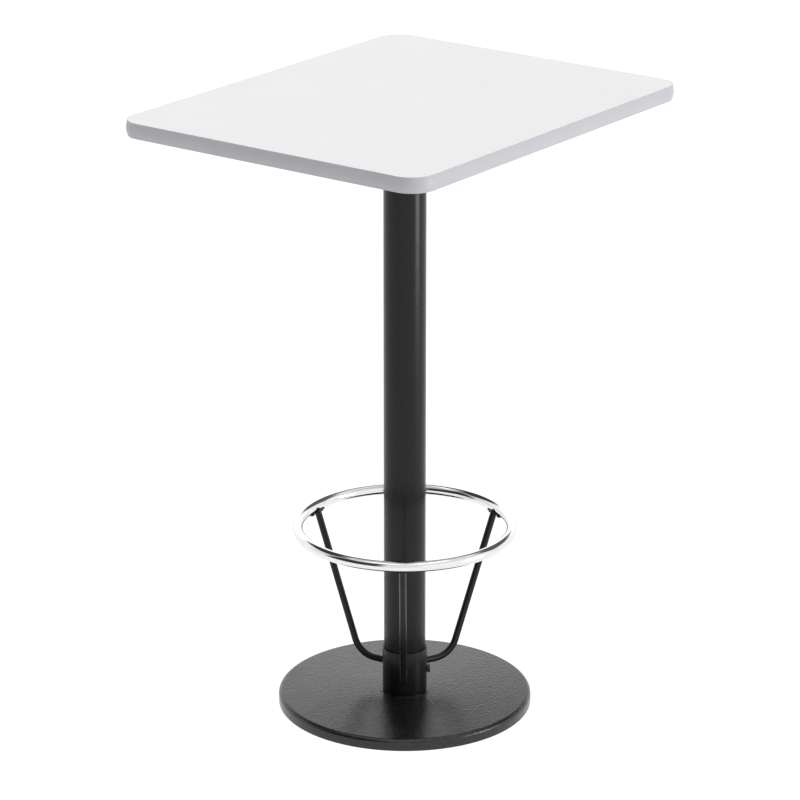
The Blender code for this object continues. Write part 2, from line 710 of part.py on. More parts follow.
def make_collar(material):
    top = COLLAR_BOTTOM + COLLAR_HEIGHT
    profile = ring_profile(COLLAR_BORE, COLLAR_RADIUS, COLLAR_BOTTOM, top, COLLAR_CHAMFER)
    collar = turned("ring_collar", profile, material, COLUMN_STEPS, closed=True)
    low = COLLAR_BORE - CUT_PAST
    high = COLLAR_RADIUS + CUT_PAST
    drill(collar, "set_screw_hole", SET_SCREW_RADIUS + GAP, low, high, set_screw_matrix(), 12)


def make_set_screw(material):
    place = set_screw_matrix()
    seat = COLLAR_RADIUS + GAP
    end = seat + SET_SCREW_HEAD_HEIGHT
    corner = SET_SCREW_FLATS / 2 / cos(pi / 6)
    tip = COLUMN_RADIUS + GAP
    screw = cylinder("collar_set_screw", corner, seat, end, material, steps=6, matrix=place)
    shank = cylinder("set_screw_shank", SET_SCREW_RADIUS, tip, seat + CUT_PAST, steps=12, matrix=place)
    boolean(screw, shank, "UNION")


def build_table():
    clear_scene()
    materials = make_materials()
    black = materials["black_metal"]
    zinc = materials["zinc"]
    make_top(materials)
    make_wood_screws(zinc)
    make_spider(black)
    make_column(black)
    make_tie_rod(zinc)
    make_base(black)
    make_glides(materials["nylon"])
    make_foot_ring(materials["chrome"])
    make_saddles(black)
    make_saddle_screws(black)
    make_arms(black)
    make_collar(black)
    make_set_screw(black)
    bpy.context.view_layer.update()


build_table()
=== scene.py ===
"""Looks of the bar-height bistro table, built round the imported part, which stays fixed.

Part frame, in metres: the origin is on the floor under the column, X runs along the top's long
side, Y along its short side and +Z is up. Every visible piece is rebuilt here with a fine mesh in
the place of its CAD solid, so it reads its places from the frame and rides on the same body.
"""

from math import asin, atan2, ceil, cos, hypot, pi, radians, sin, tan

import bmesh
import bpy
from mathutils import Matrix, Vector


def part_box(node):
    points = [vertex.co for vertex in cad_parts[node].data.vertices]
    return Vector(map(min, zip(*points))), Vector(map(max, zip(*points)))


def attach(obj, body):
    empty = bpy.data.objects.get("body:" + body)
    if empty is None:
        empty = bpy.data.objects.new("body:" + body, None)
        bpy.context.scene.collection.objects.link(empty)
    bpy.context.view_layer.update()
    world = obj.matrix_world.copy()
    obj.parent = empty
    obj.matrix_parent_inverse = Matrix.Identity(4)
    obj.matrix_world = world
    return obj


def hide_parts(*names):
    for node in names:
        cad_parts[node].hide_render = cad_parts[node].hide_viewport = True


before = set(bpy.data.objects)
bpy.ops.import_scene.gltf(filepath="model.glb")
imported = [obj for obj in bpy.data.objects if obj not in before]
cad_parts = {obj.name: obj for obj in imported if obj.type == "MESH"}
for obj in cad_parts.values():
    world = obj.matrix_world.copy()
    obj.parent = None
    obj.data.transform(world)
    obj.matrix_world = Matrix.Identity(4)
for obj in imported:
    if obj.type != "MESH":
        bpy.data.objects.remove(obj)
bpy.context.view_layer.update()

MM = 0.001


def low(node):
    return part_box(node)[0]


def high(node):
    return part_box(node)[1]


def half_width(node):
    """Half of a round node's width along X: its radius."""
    return (high(node).x - low(node).x) / 2


# Sizes read from the frame
TOP_HALF_X = high("top_laminate").x
TOP_HALF_Y = high("top_laminate").y
TOP_Z = high("top_laminate").z
LAMINATE_LOW = low("top_laminate").z
UNDERSIDE_Z = low("backer_sheet").z
BACKER_HIGH = high("backer_sheet").z
MOULD_OUT = high("edge_moulding").x - TOP_HALF_X
SPIDER_HIGH = high("mounting_spider").z
SPIGOT_LOW = low("mounting_spider").z
COLUMN_LOW = low("column_tube").z
COLUMN_HIGH = high("column_tube").z
COLUMN_RADIUS = half_width("column_tube")
BASE_RADIUS = half_width("base_plate")
BASE_LOW = low("base_plate").z
BOSS_HIGH = high("base_plate").z
ROD_LOW = low("tie_rod").z
ROD_HIGH = high("tie_rod").z
ROD_RADIUS = half_width("tie_rod")
WASHER_RADIUS = half_width("tie_rod_base_washer")
COLLAR_LOW = low("ring_collar").z
COLLAR_HIGH = high("ring_collar").z
COLLAR_RADIUS = half_width("ring_collar")
RING_Z = (high("foot_ring").z + low("foot_ring").z) / 2

# Sizes that a box doesn't give
SEAT_GAP = 0.3 * MM  # between pieces that touch on the real table
BOARD_CORNER = 41.2 * MM  # corner radius of the laminate and the backer
BOARD_EASE = 0.25 * MM
JOINT_LINE = 0.12 * MM  # between the laminate and its edge moulding
MOULD_EDGE = 0.7 * MM
TONGUE_DEPTH = 8 * MM
TONGUE_HALF = 1.1 * MM
TONGUE_PLAIN = 2 * MM  # its length before the first barb
BARB_OUT = 0.45 * MM
BARB_COUNT = 3
BARB_STEP = 0.1 * MM
BARB_ROOT = 0.8  # half thickness between barbs, of the tongue's
SLOT_DEPTH = 9 * MM
SLOT_HALF = 1.9 * MM
MOULD_SEAM = 0.2 * MM  # butt joint of the moulding's two ends
COLUMN_WALL = 1.5 * MM
EDGE_BREAK = 0.45 * MM  # rounding of a cut tube's or ring's edge

BOSS_HEIGHT = MM
BASE_TOP = BOSS_HIGH - BOSS_HEIGHT
BASE_SHOULDER = 7 * MM
BASE_WALL = 6 * MM
BASE_RIM = 8 * MM
BASE_HUB_RADIUS = 50 * MM
BASE_HUB_DRAFT = 3 * MM
BASE_HUB_RISE = 0.5 * MM
BASE_FILLET = 3 * MM
BOSS_RADIUS = 44.5 * MM
BOSS_EDGE = 0.1 * MM
RIB_COUNT = 8
RIB_HALF = 2.5 * MM
RIB_ROOT = 0.8 * MM  # wider than the rib's half width at its root
RIB_TIP = 0.3 * MM  # narrower at its tip
RIB_RISE = 3 * MM
LUG_RADIUS = 11 * MM
LUG_DRAFT = 0.8 * MM
NUT_RECESS = 17 * MM
NUT_RECESS_ROOF = high("tie_rod_base_washer").z + SEAT_GAP
CASTING_EDGE = 0.8 * MM
ROD_CLEARANCE = 0.6 * MM

GLIDE_COUNT = 4
GLIDE_CIRCLE = 182 * MM
GLIDE_ANGLE = radians(45)
GLIDE_NECK = 8 * MM
GLIDE_NECK_FLARE = 0.4 * MM
GLIDE_SHOULDER_Z = 6 * MM
GLIDE_RIM_Z = 4.4 * MM
STUD_RADIUS = 4 * MM
STUD_PITCH = 1.25 * MM

SPIDER_PLATE = 5 * MM
SPIDER_HUB = 43 * MM
HUB_PROUD = 0.1 * MM
SPIDER_HUB_HEIGHT = 16 * MM
SPIDER_RECESS = 13.5 * MM
SPIDER_REACH = 150 * MM
SPIDER_ROOT_HALF = 22 * MM
SPIDER_TIP_HALF = 14 * MM
SPIDER_RIB_DEPTH = 10 * MM
SPIDER_RIB_END = 92 * MM
SPIDER_RIB_LEAST = 0.05 * MM
SPIDER_RIB_BOW = 0.25
SPIDER_ROOT = 0.6 * SPIDER_HUB  # where an arm starts, inside the hub
SPIDER_ROOT_FILLET = 3 * MM
SPIDER_TIP_FILLET = 1.2 * MM
SPIDER_STATIONS = 12
SPIDER_ARMS = 4
SCREW_STATIONS = (104 * MM, 138 * MM)
WOOD_SCREW_RADIUS = 2.4 * MM
WOOD_SCREW_PITCH = 2.2 * MM
WOOD_SCREW_LENGTH = 19 * MM
WOOD_SCREW_HEAD = (4.6 * MM, 2.6 * MM)  # radius and height
WOOD_SCREW_HOLE = WOOD_SCREW_RADIUS + SEAT_GAP
PILOT_SPARE = 2 * MM
HEAD_GAP = 0.1 * MM  # under a seated screw's head

NUT_FLATS = 19 * MM
ROD_PITCH = 1.75 * MM
ROD_THREAD = 32 * MM
ROD_UNDERCUT = 0.4 * MM
NUT_CLEARANCE = 0.05 * MM
NUT_SINK = 0.8 * MM
WASHER_CLEARANCE = 0.4 * MM

ARM_COUNT = 3
ARM_ANGLE = radians(95.2)
ARM_RADIUS = 6 * MM
ARM_Z = 72.8 * MM
ARM_CORNER = 93 * MM
ARM_SLOPE = radians(71.3)
ARM_BEND = 42 * MM
BEAD_RADIUS = 1.0 * MM
BEAD_RIPPLE = 0.14
RING_TUBE = 9.525 * MM
RING_RADIUS = half_width("foot_ring") - RING_TUBE
SADDLE_LENGTH = 42 * MM
SADDLE_THICKNESS = 2 * MM
SADDLE_HALF_ANGLE = radians(32)
SADDLE_TURN = radians(20)  # from where a rod aims towards the tube's underside
SADDLE_CORNER = 4 * MM
SADDLE_EDGE = 0.5 * MM
SADDLE_OUTSIDE = RING_TUBE + SEAT_GAP + SADDLE_THICKNESS
STRAP_SCREW_OFFSET = 14.5 * MM
STRAP_SCREW_RADIUS = 2 * MM
STRAP_SCREW_PITCH = 0.7 * MM
STRAP_SCREW_HEAD = (3.2 * MM, 1.8 * MM)
STRAP_SCREW_REACH = 5 * MM
STRAP_HOLE = STRAP_SCREW_RADIUS + 0.2 * MM
RING_WELD_ANGLE = radians(62)
RING_WELD_RISE = 0.12 * MM
RING_WELD_HALF = 1.8 * MM

SET_SCREW_ANGLE = radians(307.1)
SET_SCREW_Z = 66 * MM
SET_SCREW_FLATS = 13 * MM
SET_SCREW_HEAD = 5.4 * MM
SET_SCREW_FACE = 0.5 * MM  # height of the washer face under its head
SET_SCREW_FACE_RADIUS = 0.46 * SET_SCREW_FLATS

# Screw and nut forms
THREAD_DEPTH = 0.6  # of the pitch
HEX_FACE = 0.475  # radius of a hexagon's flat end, of its width across flats
HEX_CHAMFER = radians(30)
CROWN_EDGE = 0.35  # height of a pan head's edge, of the head's
CROWN_ROUND = 0.6
CROWN_FLAT = 0.15  # radius of the head's flat middle, of the head's
SHANK_CHAMFER = 0.6  # of the shank's radius
# Depth, half length and half width of a cross recess at its two ends, in head radii
RECESS_ENDS = ((-0.2, 0.62, 0.17), (0.35, 0.42, 0.12))

# Mesh fineness
ROUND_STEPS = 128
SMALL_STEPS = 48
HOLE_STEPS = 24
THREAD_STEPS = 24
THREAD_ROWS = 8  # rings a pitch
HEX_STEPS = 72
CORNER_STEPS = 24
FILLET_STEPS = 5
BEND_STEPS = 20
BEAD_STEPS = 12
RING_STEPS = 240
HALVINGS = 40  # of the distance to a surface that a rod's end meets
SHARP_ANGLE = radians(32)
WELD_DISTANCE = 0.001 * MM

# Camera: seen from the corner of the top that points at it
VIEW_TURN = radians(-52.91)
CAMERA_SIDE = -74.8 * MM
CAMERA_DISTANCE = 5.788
CAMERA_HEIGHT = 2.598
CAMERA_YAW = radians(0.659)
CAMERA_PITCH = radians(19.34)
CAMERA_LENS = 160.9
CAMERA_SENSOR = 36.0
CAMERA_CLIP = 200

# The studio as light from each direction. Headings are in degrees from straight behind the table,
# clockwise; heights are in degrees above the horizon.
STUDIO_DOME = 0.92
STUDIO_PANELS = (  # range of headings, range of heights, softness of the edges, light
    ((-70, 76), (-90, 34), 12, 1.12),  # white sweep
    ((-40, 40), (8, 36), 8, 1.48),  # its brightest part
    ((-156, -96), (-8, 52), 14, 0.05),  # flag on the left
    ((-90, 10), (34, 60), 9, 0.05),  # flag over the sweep
    ((4, 76), (25, 51), 9, 0.12),  # its lower right end
    ((82, 164), (-14, 34), 10, 1.15),  # soft box on the right
    ((-180, 180), (68, 91), 6, 2.8),  # overhead soft box
)
SIDE_BOX = {"place": (3.2, -1.2, 0.65), "aim": (0, 0, 0.6), "size": (1.2, 1.4), "energy": 38}
FLOOR_COLOUR = 0.1
FLOOR_GLOW = 1.02
FLOOR_RADIUS = 60
FLOOR_DEPTH = 0.02
NOISE_MIDDLE = (0.3, 0.7)  # where most of a noise's values lie


# ---- mesh tools


def turn_about_column(angle):
    return Matrix.Rotation(angle, 4, "Z")


def turns(first, count):
    """Matrices to evenly spaced places round the column."""
    return [turn_about_column(first + i * 2 * pi / count) for i in range(count)]


def clean_mesh(form, mesh):
    """Writes a bmesh to a mesh, welded and with its faces pointing out."""
    bmesh.ops.remove_doubles(form, verts=form.verts, dist=WELD_DISTANCE)
    bmesh.ops.dissolve_degenerate(form, edges=form.edges, dist=WELD_DISTANCE)
    bmesh.ops.recalc_face_normals(form, faces=form.faces)
    form.to_mesh(mesh)
    form.free()


def add(name, form, slot, matrix=None):
    """An object from a bmesh, smooth but for its real edges. A cutter has no material slot."""
    mesh = bpy.data.meshes.new(name)
    clean_mesh(form, mesh)
    obj = bpy.data.objects.new(name, mesh)
    bpy.context.scene.collection.objects.link(obj)
    if slot:
        mesh.materials.append(MATERIALS[slot])
    obj.matrix_world = matrix or Matrix.Identity(4)
    shade(obj)
    return obj


def shade(obj):
    obj.data.shade_smooth()
    obj.data.set_sharp_from_angle(angle=SHARP_ANGLE)


def loft(name, rings, slot, joined=False, matrix=None):
    """A skin over closed rings of points, joined last to first or capped at both ends."""
    form = bmesh.new()
    rows = [[form.verts.new(point) for point in ring] for ring in rings]
    pairs = list(zip(rows, rows[1:]))
    if joined:
        pairs.append((rows[-1], rows[0]))
    for this, following in pairs:
        for i in range(len(this)):
            form.faces.new((this[i - 1], this[i], following[i], following[i - 1]))
    if not joined:
        form.faces.new(rows[0])
        form.faces.new(rows[-1])
    return add(name, form, slot, matrix)


def circle(radius, z, steps):
    angles = [2 * pi * i / steps for i in range(steps)]
    return [(radius * cos(angle), radius * sin(angle), z) for angle in angles]


def turned(name, profile, slot, steps=ROUND_STEPS, joined=False, matrix=None):
    """A turned piece from (radius, height) points; a joined profile is a closed section."""
    rings = [circle(radius, z, steps) for radius, z in profile]
    return loft(name, rings, slot, joined, matrix)


def rounded(corners, closed=True, steps=FILLET_STEPS):
    """The outline through corners (x, y, radius), each rounded by its own radius."""
    outline = []
    for i, (x, y, radius) in enumerate(corners):
        here = Vector((x, y))
        if radius == 0 or (not closed and i in (0, len(corners) - 1)):
            outline.append((x, y))
            continue
        before = (Vector(corners[i - 1][:2]) - here).normalized()
        after = (Vector(corners[(i + 1) % len(corners)][:2]) - here).normalized()
        half = before.angle(after) / 2
        centre = here + (before + after).normalized() * (radius / sin(half))
        start = here + before * (radius / tan(half)) - centre
        sweep = pi - 2 * half
        if before.x * after.y - before.y * after.x > 0:
            sweep = -sweep
        first = atan2(start.y, start.x)
        for k in range(steps + 1):
            angle = first + sweep * k / steps
            outline.append((centre.x + radius * cos(angle), centre.y + radius * sin(angle)))
    return outline


def combine(target, tools, operation="DIFFERENCE"):
    """Cuts the tools out of the target, or joins them to it, and removes them."""
    for tool in tools:
        modifier = target.modifiers.new(tool.name, "BOOLEAN")
        modifier.operation = operation
        modifier.object = tool
    bpy.context.view_layer.update()
    evaluated = target.evaluated_get(bpy.context.evaluated_depsgraph_get())
    mesh = bpy.data.meshes.new_from_object(evaluated)
    target.modifiers.clear()
    form = bmesh.new()
    form.from_mesh(mesh)
    clean_mesh(form, mesh)
    target.data = mesh
    for tool in tools:
        bpy.data.objects.remove(tool)
    shade(target)
    return target


def peg(name, radius, bottom, top, matrix=None, steps=SMALL_STEPS):
    """A round cutter."""
    rings = [circle(radius, z, steps) for z in (bottom, top)]
    return loft(name, rings, None, matrix=matrix)


def recoat(piece, slot):
    """Leaves a piece that was joined from several with one material."""
    piece.data.materials.clear()
    piece.data.materials.append(MATERIALS[slot])


def drill(piece, radius, bottom, top, places, steps=HOLE_STEPS):
    """Round holes through a piece, from bottom to top along Z at each place."""
    combine(piece, [peg("hole", radius, bottom, top, place, steps) for place in places])


def rectangle(half_x, half_y, z, y=0.0):
    """A rectangle at a height, its middle at y."""
    near, far = y - half_y, y + half_y
    return [(-half_x, near, z), (half_x, near, z), (half_x, far, z), (-half_x, far, z)]


def thread_depth(pitch, z, angle):
    """How far the surface of a thread lies under its crest."""
    phase = (z / pitch - angle / (2 * pi)) % 1
    return THREAD_DEPTH * pitch * abs(2 * phase - 1)


def thread_rings(radius, pitch, bottom, top, chamfer_low=0.0, chamfer_high=0.0, steps=THREAD_STEPS):
    """Rings of a threaded shank, chamfered at its ends."""
    rows = max(2, ceil((top - bottom) / pitch * THREAD_ROWS))
    rings = []
    for i in range(rows + 1):
        z = bottom + (top - bottom) * i / rows
        limit = radius
        if chamfer_low:
            limit = min(limit, radius - chamfer_low + (z - bottom))
        if chamfer_high:
            limit = min(limit, radius - chamfer_high + (top - z))
        ring = []
        for k in range(steps):
            angle = 2 * pi * k / steps
            r = min(limit, radius - thread_depth(pitch, z, angle))
            ring.append((r * cos(angle), r * sin(angle), z))
        rings.append(ring)
    return rings


def hex_ring(flats, limit, z):
    """One ring of a hexagon, turned down to a radius limit."""
    ring = []
    for k in range(HEX_STEPS):
        angle = 2 * pi * k / HEX_STEPS
        from_flat = (angle + pi / 6) % (pi / 3) - pi / 6
        r = min(flats / 2 / cos(from_flat), limit)
        ring.append((r * cos(angle), r * sin(angle), z))
    return ring


def hex_rings(flats, bottom, top, chamfer_low=True, rows=6):
    """Rings of a hexagon whose corners are chamfered."""
    corner = flats / 2 / cos(pi / 6)
    face = HEX_FACE * flats
    drop = (corner - face) * tan(HEX_CHAMFER)
    levels = []
    for i in range(rows + 1):
        share = i / rows
        limit = face + (corner - face) * share
        if chamfer_low:
            levels.append((bottom + drop * share, limit))
        levels.append((top - drop * share, limit))
    if not chamfer_low:
        levels.append((bottom, corner))
    return [hex_ring(flats, limit, z) for z, limit in sorted(levels)]


def fit(piece, body, slot, *nodes):
    """The piece rides on a body and stands for CAD nodes; the slot argument is not used."""
    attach(piece, body)
    if nodes:
        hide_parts(*nodes)
    return piece


# ---- materials


def feed(tree, entry, value):
    """Sets a node's input to a value, or links it to a socket."""
    if isinstance(value, bpy.types.NodeSocket):
        tree.links.new(value, entry)
    else:
        entry.default_value = value


def make_node(tree, kind, **inputs):
    """A shader node with its inputs fed by name."""
    node = tree.nodes.new("ShaderNode" + kind)
    for name, value in inputs.items():
        feed(tree, node.inputs[name], value)
    return node


class Shader:
    """A Principled material with helpers for the procedural nodes that drive it."""

    def __init__(self, name, roughness, metallic=0.0, specular=0.5):
        self.material = bpy.data.materials.new(name)
        self.material.use_nodes = True
        self.tree = self.material.node_tree
        self.surface = self.tree.nodes["Principled BSDF"]
        self.set("Roughness", roughness)
        self.set("Metallic", metallic)
        self.set("Specular IOR Level", specular)
        self.place = make_node(self.tree, "TexCoord").outputs["Object"]

    def set(self, name, value):
        feed(self.tree, self.surface.inputs[name], value)

    def stretch(self, scale):
        """The coordinates scaled by a different amount along each axis."""
        return make_node(self.tree, "Mapping", Scale=scale, Vector=self.place).outputs["Vector"]

    def noise(self, size, detail=2.0, distortion=0.0, place=None):
        """Cloudy noise whose features are about this size."""
        inputs = {"Scale": 1 / size, "Detail": detail, "Distortion": distortion}
        node = make_node(self.tree, "TexNoise", Vector=place or self.place, **inputs)
        return node.outputs["Fac"]

    def cells(self, size, output="Distance", place=None):
        """Cells about this size."""
        node = make_node(self.tree, "TexVoronoi", Scale=1 / size, Vector=place or self.place)
        return node.outputs[output]

    def ramp(self, value, *stops):
        """The base colour from a value: stops are (position, (r, g, b))."""
        ramp = make_node(self.tree, "ValToRGB", Fac=value)
        elements = ramp.color_ramp.elements
        while len(elements) < len(stops):
            elements.new(0.5)
        for element, (position, colour) in zip(elements, stops):
            element.position = position
            element.color = (*colour, 1)
        self.set("Base Color", ramp.outputs["Color"])

    def mottle(self, noise, dark, light):
        """The base colour between two colours, over the middle of a noise."""
        self.ramp(noise, (NOISE_MIDDLE[0], dark), (NOISE_MIDDLE[1], light))

    def roughness(self, noise, lowest, highest):
        """The roughness between two values, over the middle of a noise."""
        start, end = NOISE_MIDDLE
        ends = {"From Min": start, "From Max": end, "To Min": lowest, "To Max": highest}
        spread = make_node(self.tree, "MapRange", Value=noise, **ends)
        self.set("Roughness", spread.outputs["Result"])

    def bump(self, *layers):
        """Relief in layers of (height socket, depth in metres), one over the other."""
        below = {"Strength": 1.0}
        for height, depth in layers:
            bump = make_node(self.tree, "Bump", Distance=depth, Height=height, **below)
            below["Normal"] = bump.outputs["Normal"]
        self.set("Normal", below["Normal"])


def grey(value):
    return (value, value, value)


def laminate_material():
    """High-pressure laminate: white, with a fine suede texture."""
    shader = Shader("laminate_white", 0.42, specular=0.45)
    cloud = shader.noise(90 * MM, 3)
    shader.mottle(cloud, (0.812, 0.814, 0.820), (0.828, 0.830, 0.835))
    fine = shader.noise(0.9 * MM, 4)
    shader.roughness(fine, 0.38, 0.46)
    shader.bump((fine, 0.012 * MM), (shader.noise(2.6 * MM, 2), 0.012 * MM))
    return shader.material


def edge_material():
    """PVC edge moulding: cool light grey, with a fine pebble."""
    shader = Shader("edge_pvc_grey", 0.4, specular=0.4)
    cloud = shader.noise(60 * MM, 3)
    shader.mottle(cloud, (0.412, 0.409, 0.438), (0.430, 0.427, 0.456))
    pebble = shader.cells(0.8 * MM)
    shader.roughness(shader.noise(4 * MM, 3), 0.34, 0.46)
    shader.bump((pebble, 0.02 * MM))
    return shader.material


def backer_material():
    """Balancing sheet: light grey, faintly sanded."""
    shader = Shader("backer_sheet_grey", 0.6, specular=0.35)
    streaks = shader.noise(1.2 * MM, 3, place=shader.stretch((0.05, 1, 1)))
    shader.mottle(streaks, (0.58, 0.57, 0.54), (0.62, 0.61, 0.59))
    shader.roughness(shader.noise(30 * MM, 3), 0.52, 0.68)
    shader.bump((streaks, 0.015 * MM))
    return shader.material


def chipboard_material():
    """Particleboard: pressed chips in several browns."""
    shader = Shader("particleboard", 0.88, specular=0.2)
    chips = shader.cells(3.2 * MM, "Color", shader.stretch((1, 1, 3)))
    browns = ((0.2, (0.24, 0.15, 0.075)), (0.5, (0.46, 0.31, 0.17)), (0.8, (0.62, 0.45, 0.27)))
    shader.ramp(chips, *browns)
    shader.bump((shader.cells(3.2 * MM, "Distance", shader.stretch((1, 1, 3))), 0.25 * MM))
    return shader.material


def coat_material(name, dark, light, roughness, specular, peel, depth):
    """Black powder coat: orange peel of a given size and depth, with a fine grain on it."""
    shader = Shader(name, roughness, specular=specular)
    grain = shader.noise(0.7 * MM, 3)
    cloud = shader.noise(35 * MM, 3)
    shader.ramp(shader.noise(peel, 3), (0.35, grey(dark)), (0.65, grey(light)))
    shader.roughness(cloud, roughness - 0.03, roughness + 0.03)
    shader.bump((shader.noise(peel, 2, 0.4), depth), (grain, 0.25 * depth))
    return shader.material


def chrome_material():
    """Polished chrome plate with the faint haze of its buffing."""
    shader = Shader("chrome_tube", 0.08, metallic=1.0)
    haze = shader.noise(16 * MM, 4)
    shader.mottle(haze, (0.76, 0.76, 0.765), (0.80, 0.80, 0.803))
    buffing = shader.noise(0.5 * MM, 2, place=shader.stretch((1, 1, 0.1)))
    shader.roughness(haze, 0.05, 0.10)
    shader.bump((buffing, 0.0008 * MM))
    return shader.material


def zinc_material():
    """Zinc-plated steel: bluish, mottled, with light marks."""
    shader = Shader("zinc_steel", 0.32, metallic=1.0)
    mottle = shader.noise(2.5 * MM, 4)
    shader.mottle(mottle, (0.50, 0.52, 0.55), (0.68, 0.69, 0.70))
    shader.roughness(mottle, 0.24, 0.42)
    shader.bump((shader.noise(0.4 * MM, 3), 0.006 * MM))
    return shader.material


def oxide_material():
    """Black-oxide steel: dark, slightly brown in its hollows."""
    shader = Shader("screw_black", 0.4, metallic=0.6)
    mottle = shader.noise(1.5 * MM, 3)
    shader.mottle(mottle, (0.018, 0.017, 0.017), (0.040, 0.040, 0.042))
    shader.roughness(mottle, 0.32, 0.48)
    shader.bump((shader.noise(0.3 * MM, 3), 0.008 * MM))
    return shader.material


def nylon_material():
    """Moulded black nylon with a faint spark texture."""
    shader = Shader("nylon_black", 0.5, specular=0.4)
    spark = shader.noise(0.45 * MM, 3)
    shader.mottle(shader.noise(6 * MM, 3), grey(0.016), grey(0.026))
    shader.roughness(spark, 0.42, 0.6)
    shader.bump((spark, 0.02 * MM))
    return shader.material


MATERIALS = {
    "laminate_white": laminate_material(),
    "edge_pvc_grey": edge_material(),
    "backer_sheet_grey": backer_material(),
    "particleboard": chipboard_material(),
    "powder_coat_black": coat_material(
        "powder_coat_black", 0.005, 0.008, 0.26, 0.25, 3.0 * MM, 0.06 * MM
    ),
    "cast_iron_black": coat_material(
        "cast_iron_black", 0.003, 0.013, 0.22, 0.48, 5.0 * MM, 0.5 * MM
    ),
    "chrome_tube": chrome_material(),
    "zinc_steel": zinc_material(),
    "screw_black": oxide_material(),
    "nylon_black": nylon_material(),
}


# ---- table top


def board_ring(outset, z):
    """The laminate's rounded rectangle, moved out by outset, at a height."""
    half_x = TOP_HALF_X - BOARD_CORNER
    half_y = TOP_HALF_Y - BOARD_CORNER
    radius = BOARD_CORNER + outset
    ring = []
    centres = ((half_x, half_y), (-half_x, half_y), (-half_x, -half_y), (half_x, -half_y))
    for i, (x, y) in enumerate(centres):
        for k in range(CORNER_STEPS + 1):
            angle = (i + k / CORNER_STEPS) * pi / 2
            ring.append((x + radius * cos(angle), y + radius * sin(angle), z))
    return ring


def eased_board(name, outset, bottom, top, slot):
    """A sheet with its upper and lower edges eased."""
    ease = min(BOARD_EASE, (top - bottom) / 3)
    inside = outset - MM
    corners = [(inside, bottom, 0), (outset, bottom, ease), (outset, top, ease), (inside, top, 0)]
    section = rounded(corners, closed=False)
    return loft(name, [board_ring(x, z) for x, z in section], slot)


def mould_section():
    """The moulding's section: x out from the laminate's edge, y up from the board's middle."""
    half = (TOP_Z - UNDERSIDE_Z) / 2
    lip = JOINT_LINE
    crown = MOULD_OUT - SEAT_GAP
    bulge = (half * half + crown * crown) / (2 * crown)
    sweep = asin(half / bulge)
    face = []
    steps = 16
    for i in range(1, steps):
        angle = -sweep + 2 * sweep * i / steps
        face.append((lip + crown - bulge + bulge * cos(angle), bulge * sin(angle), 0))
    tongue = [(lip, TONGUE_HALF, 0.3 * MM)]
    step = (TONGUE_DEPTH - TONGUE_PLAIN) / BARB_COUNT
    for i in range(BARB_COUNT):
        start = lip - TONGUE_PLAIN - i * step
        tongue.append((start, TONGUE_HALF, 0))
        tongue.append((start - BARB_STEP, TONGUE_HALF + BARB_OUT, 0))
        tongue.append((start - step + BARB_STEP, TONGUE_HALF * BARB_ROOT, 0))
    mirrored = [(x, -y, r) for x, y, r in reversed(tongue)]
    edge = MOULD_EDGE
    return rounded(
        [
            (lip, -half, 0),
            (lip + edge, -half, edge / 2),
            *face,
            (lip + edge, half, edge / 2),
            (lip, half, 0),
            *tongue,
            *mirrored,
        ],
        steps=3,
    )


def make_core():
    """The chipboard core, with the moulding's slot routed round its edge and its pilot holes."""
    bottom = low("top_core").z
    top = high("top_core").z
    middle = (TOP_Z + UNDERSIDE_Z) / 2
    section = [
        (0, bottom),
        (0, middle - SLOT_HALF),
        (-SLOT_DEPTH, middle - SLOT_HALF),
        (-SLOT_DEPTH, middle + SLOT_HALF),
        (0, middle + SLOT_HALF),
        (0, top),
    ]
    core = loft("core_board", [board_ring(x, z) for x, z in section], "particleboard")
    pilot_top = SPIDER_HIGH - SPIDER_PLATE + WOOD_SCREW_LENGTH + PILOT_SPARE
    drill(core, WOOD_SCREW_HOLE, bottom - MM, pilot_top, wood_screw_places())
    fit(core, "table", "particleboard", "top_core")


def make_top():
    face = eased_board("laminate_face", 0.0, LAMINATE_LOW, TOP_Z, "laminate_white")
    fit(face, "table", "laminate_white", "top_laminate")
    sheet = eased_board("balancing_sheet", 0.0, UNDERSIDE_Z, BACKER_HIGH, "backer_sheet_grey")
    places = wood_screw_places()
    drill(sheet, WOOD_SCREW_HOLE, UNDERSIDE_Z - MM, BACKER_HIGH + MM, places, SMALL_STEPS)
    fit(sheet, "table", "backer_sheet_grey", "backer_sheet")
    middle = (TOP_Z + UNDERSIDE_Z) / 2
    rings = [board_ring(x, middle + y) for x, y in mould_section()]
    band = loft("edge_band", rings, "edge_pvc_grey", joined=True)
    levels = (UNDERSIDE_Z - MM, TOP_Z + MM)
    slit = [rectangle(MOULD_SEAM / 2, 2 * TONGUE_DEPTH, z, TOP_HALF_Y) for z in levels]
    combine(band, [loft("band_seam", slit, None)])
    fit(band, "table", "edge_pvc_grey", "edge_moulding")


# ---- screws and rods


def cross_recess(head_radius, top):
    """Two tapered bars that cut a cross recess down from a head's top."""
    bars = []
    for i in range(2):
        rings = []
        for depth, length, width in RECESS_ENDS:
            z = top - depth * head_radius
            rings.append(rectangle(length * head_radius, width * head_radius, z))
        bars.append(loft("recess", rings, None, matrix=turn_about_column(i * pi / 2)))
    return bars


def pan_screw(name, head, radius, pitch, length, slot):
    """A pan-head screw, its seat at z = 0, its head above and its threaded shank below."""
    head_radius, height = head
    profile = [(radius, 0), (head_radius, 0)]
    steps = 8
    for i in range(steps):
        angle = pi / 2 * i / steps
        rise = CROWN_EDGE + (1 - CROWN_EDGE) * sin(angle)
        profile.append((head_radius * cos(angle) ** CROWN_ROUND, height * rise))
    profile.append((CROWN_FLAT * head_radius, height))
    shank = thread_rings(radius, pitch, -length, 0, chamfer_low=SHANK_CHAMFER * radius)
    rings = [*shank, *[circle(r, z, THREAD_STEPS) for r, z in profile]]
    screw = loft(name, rings, slot)
    return combine(screw, cross_recess(head_radius, height))


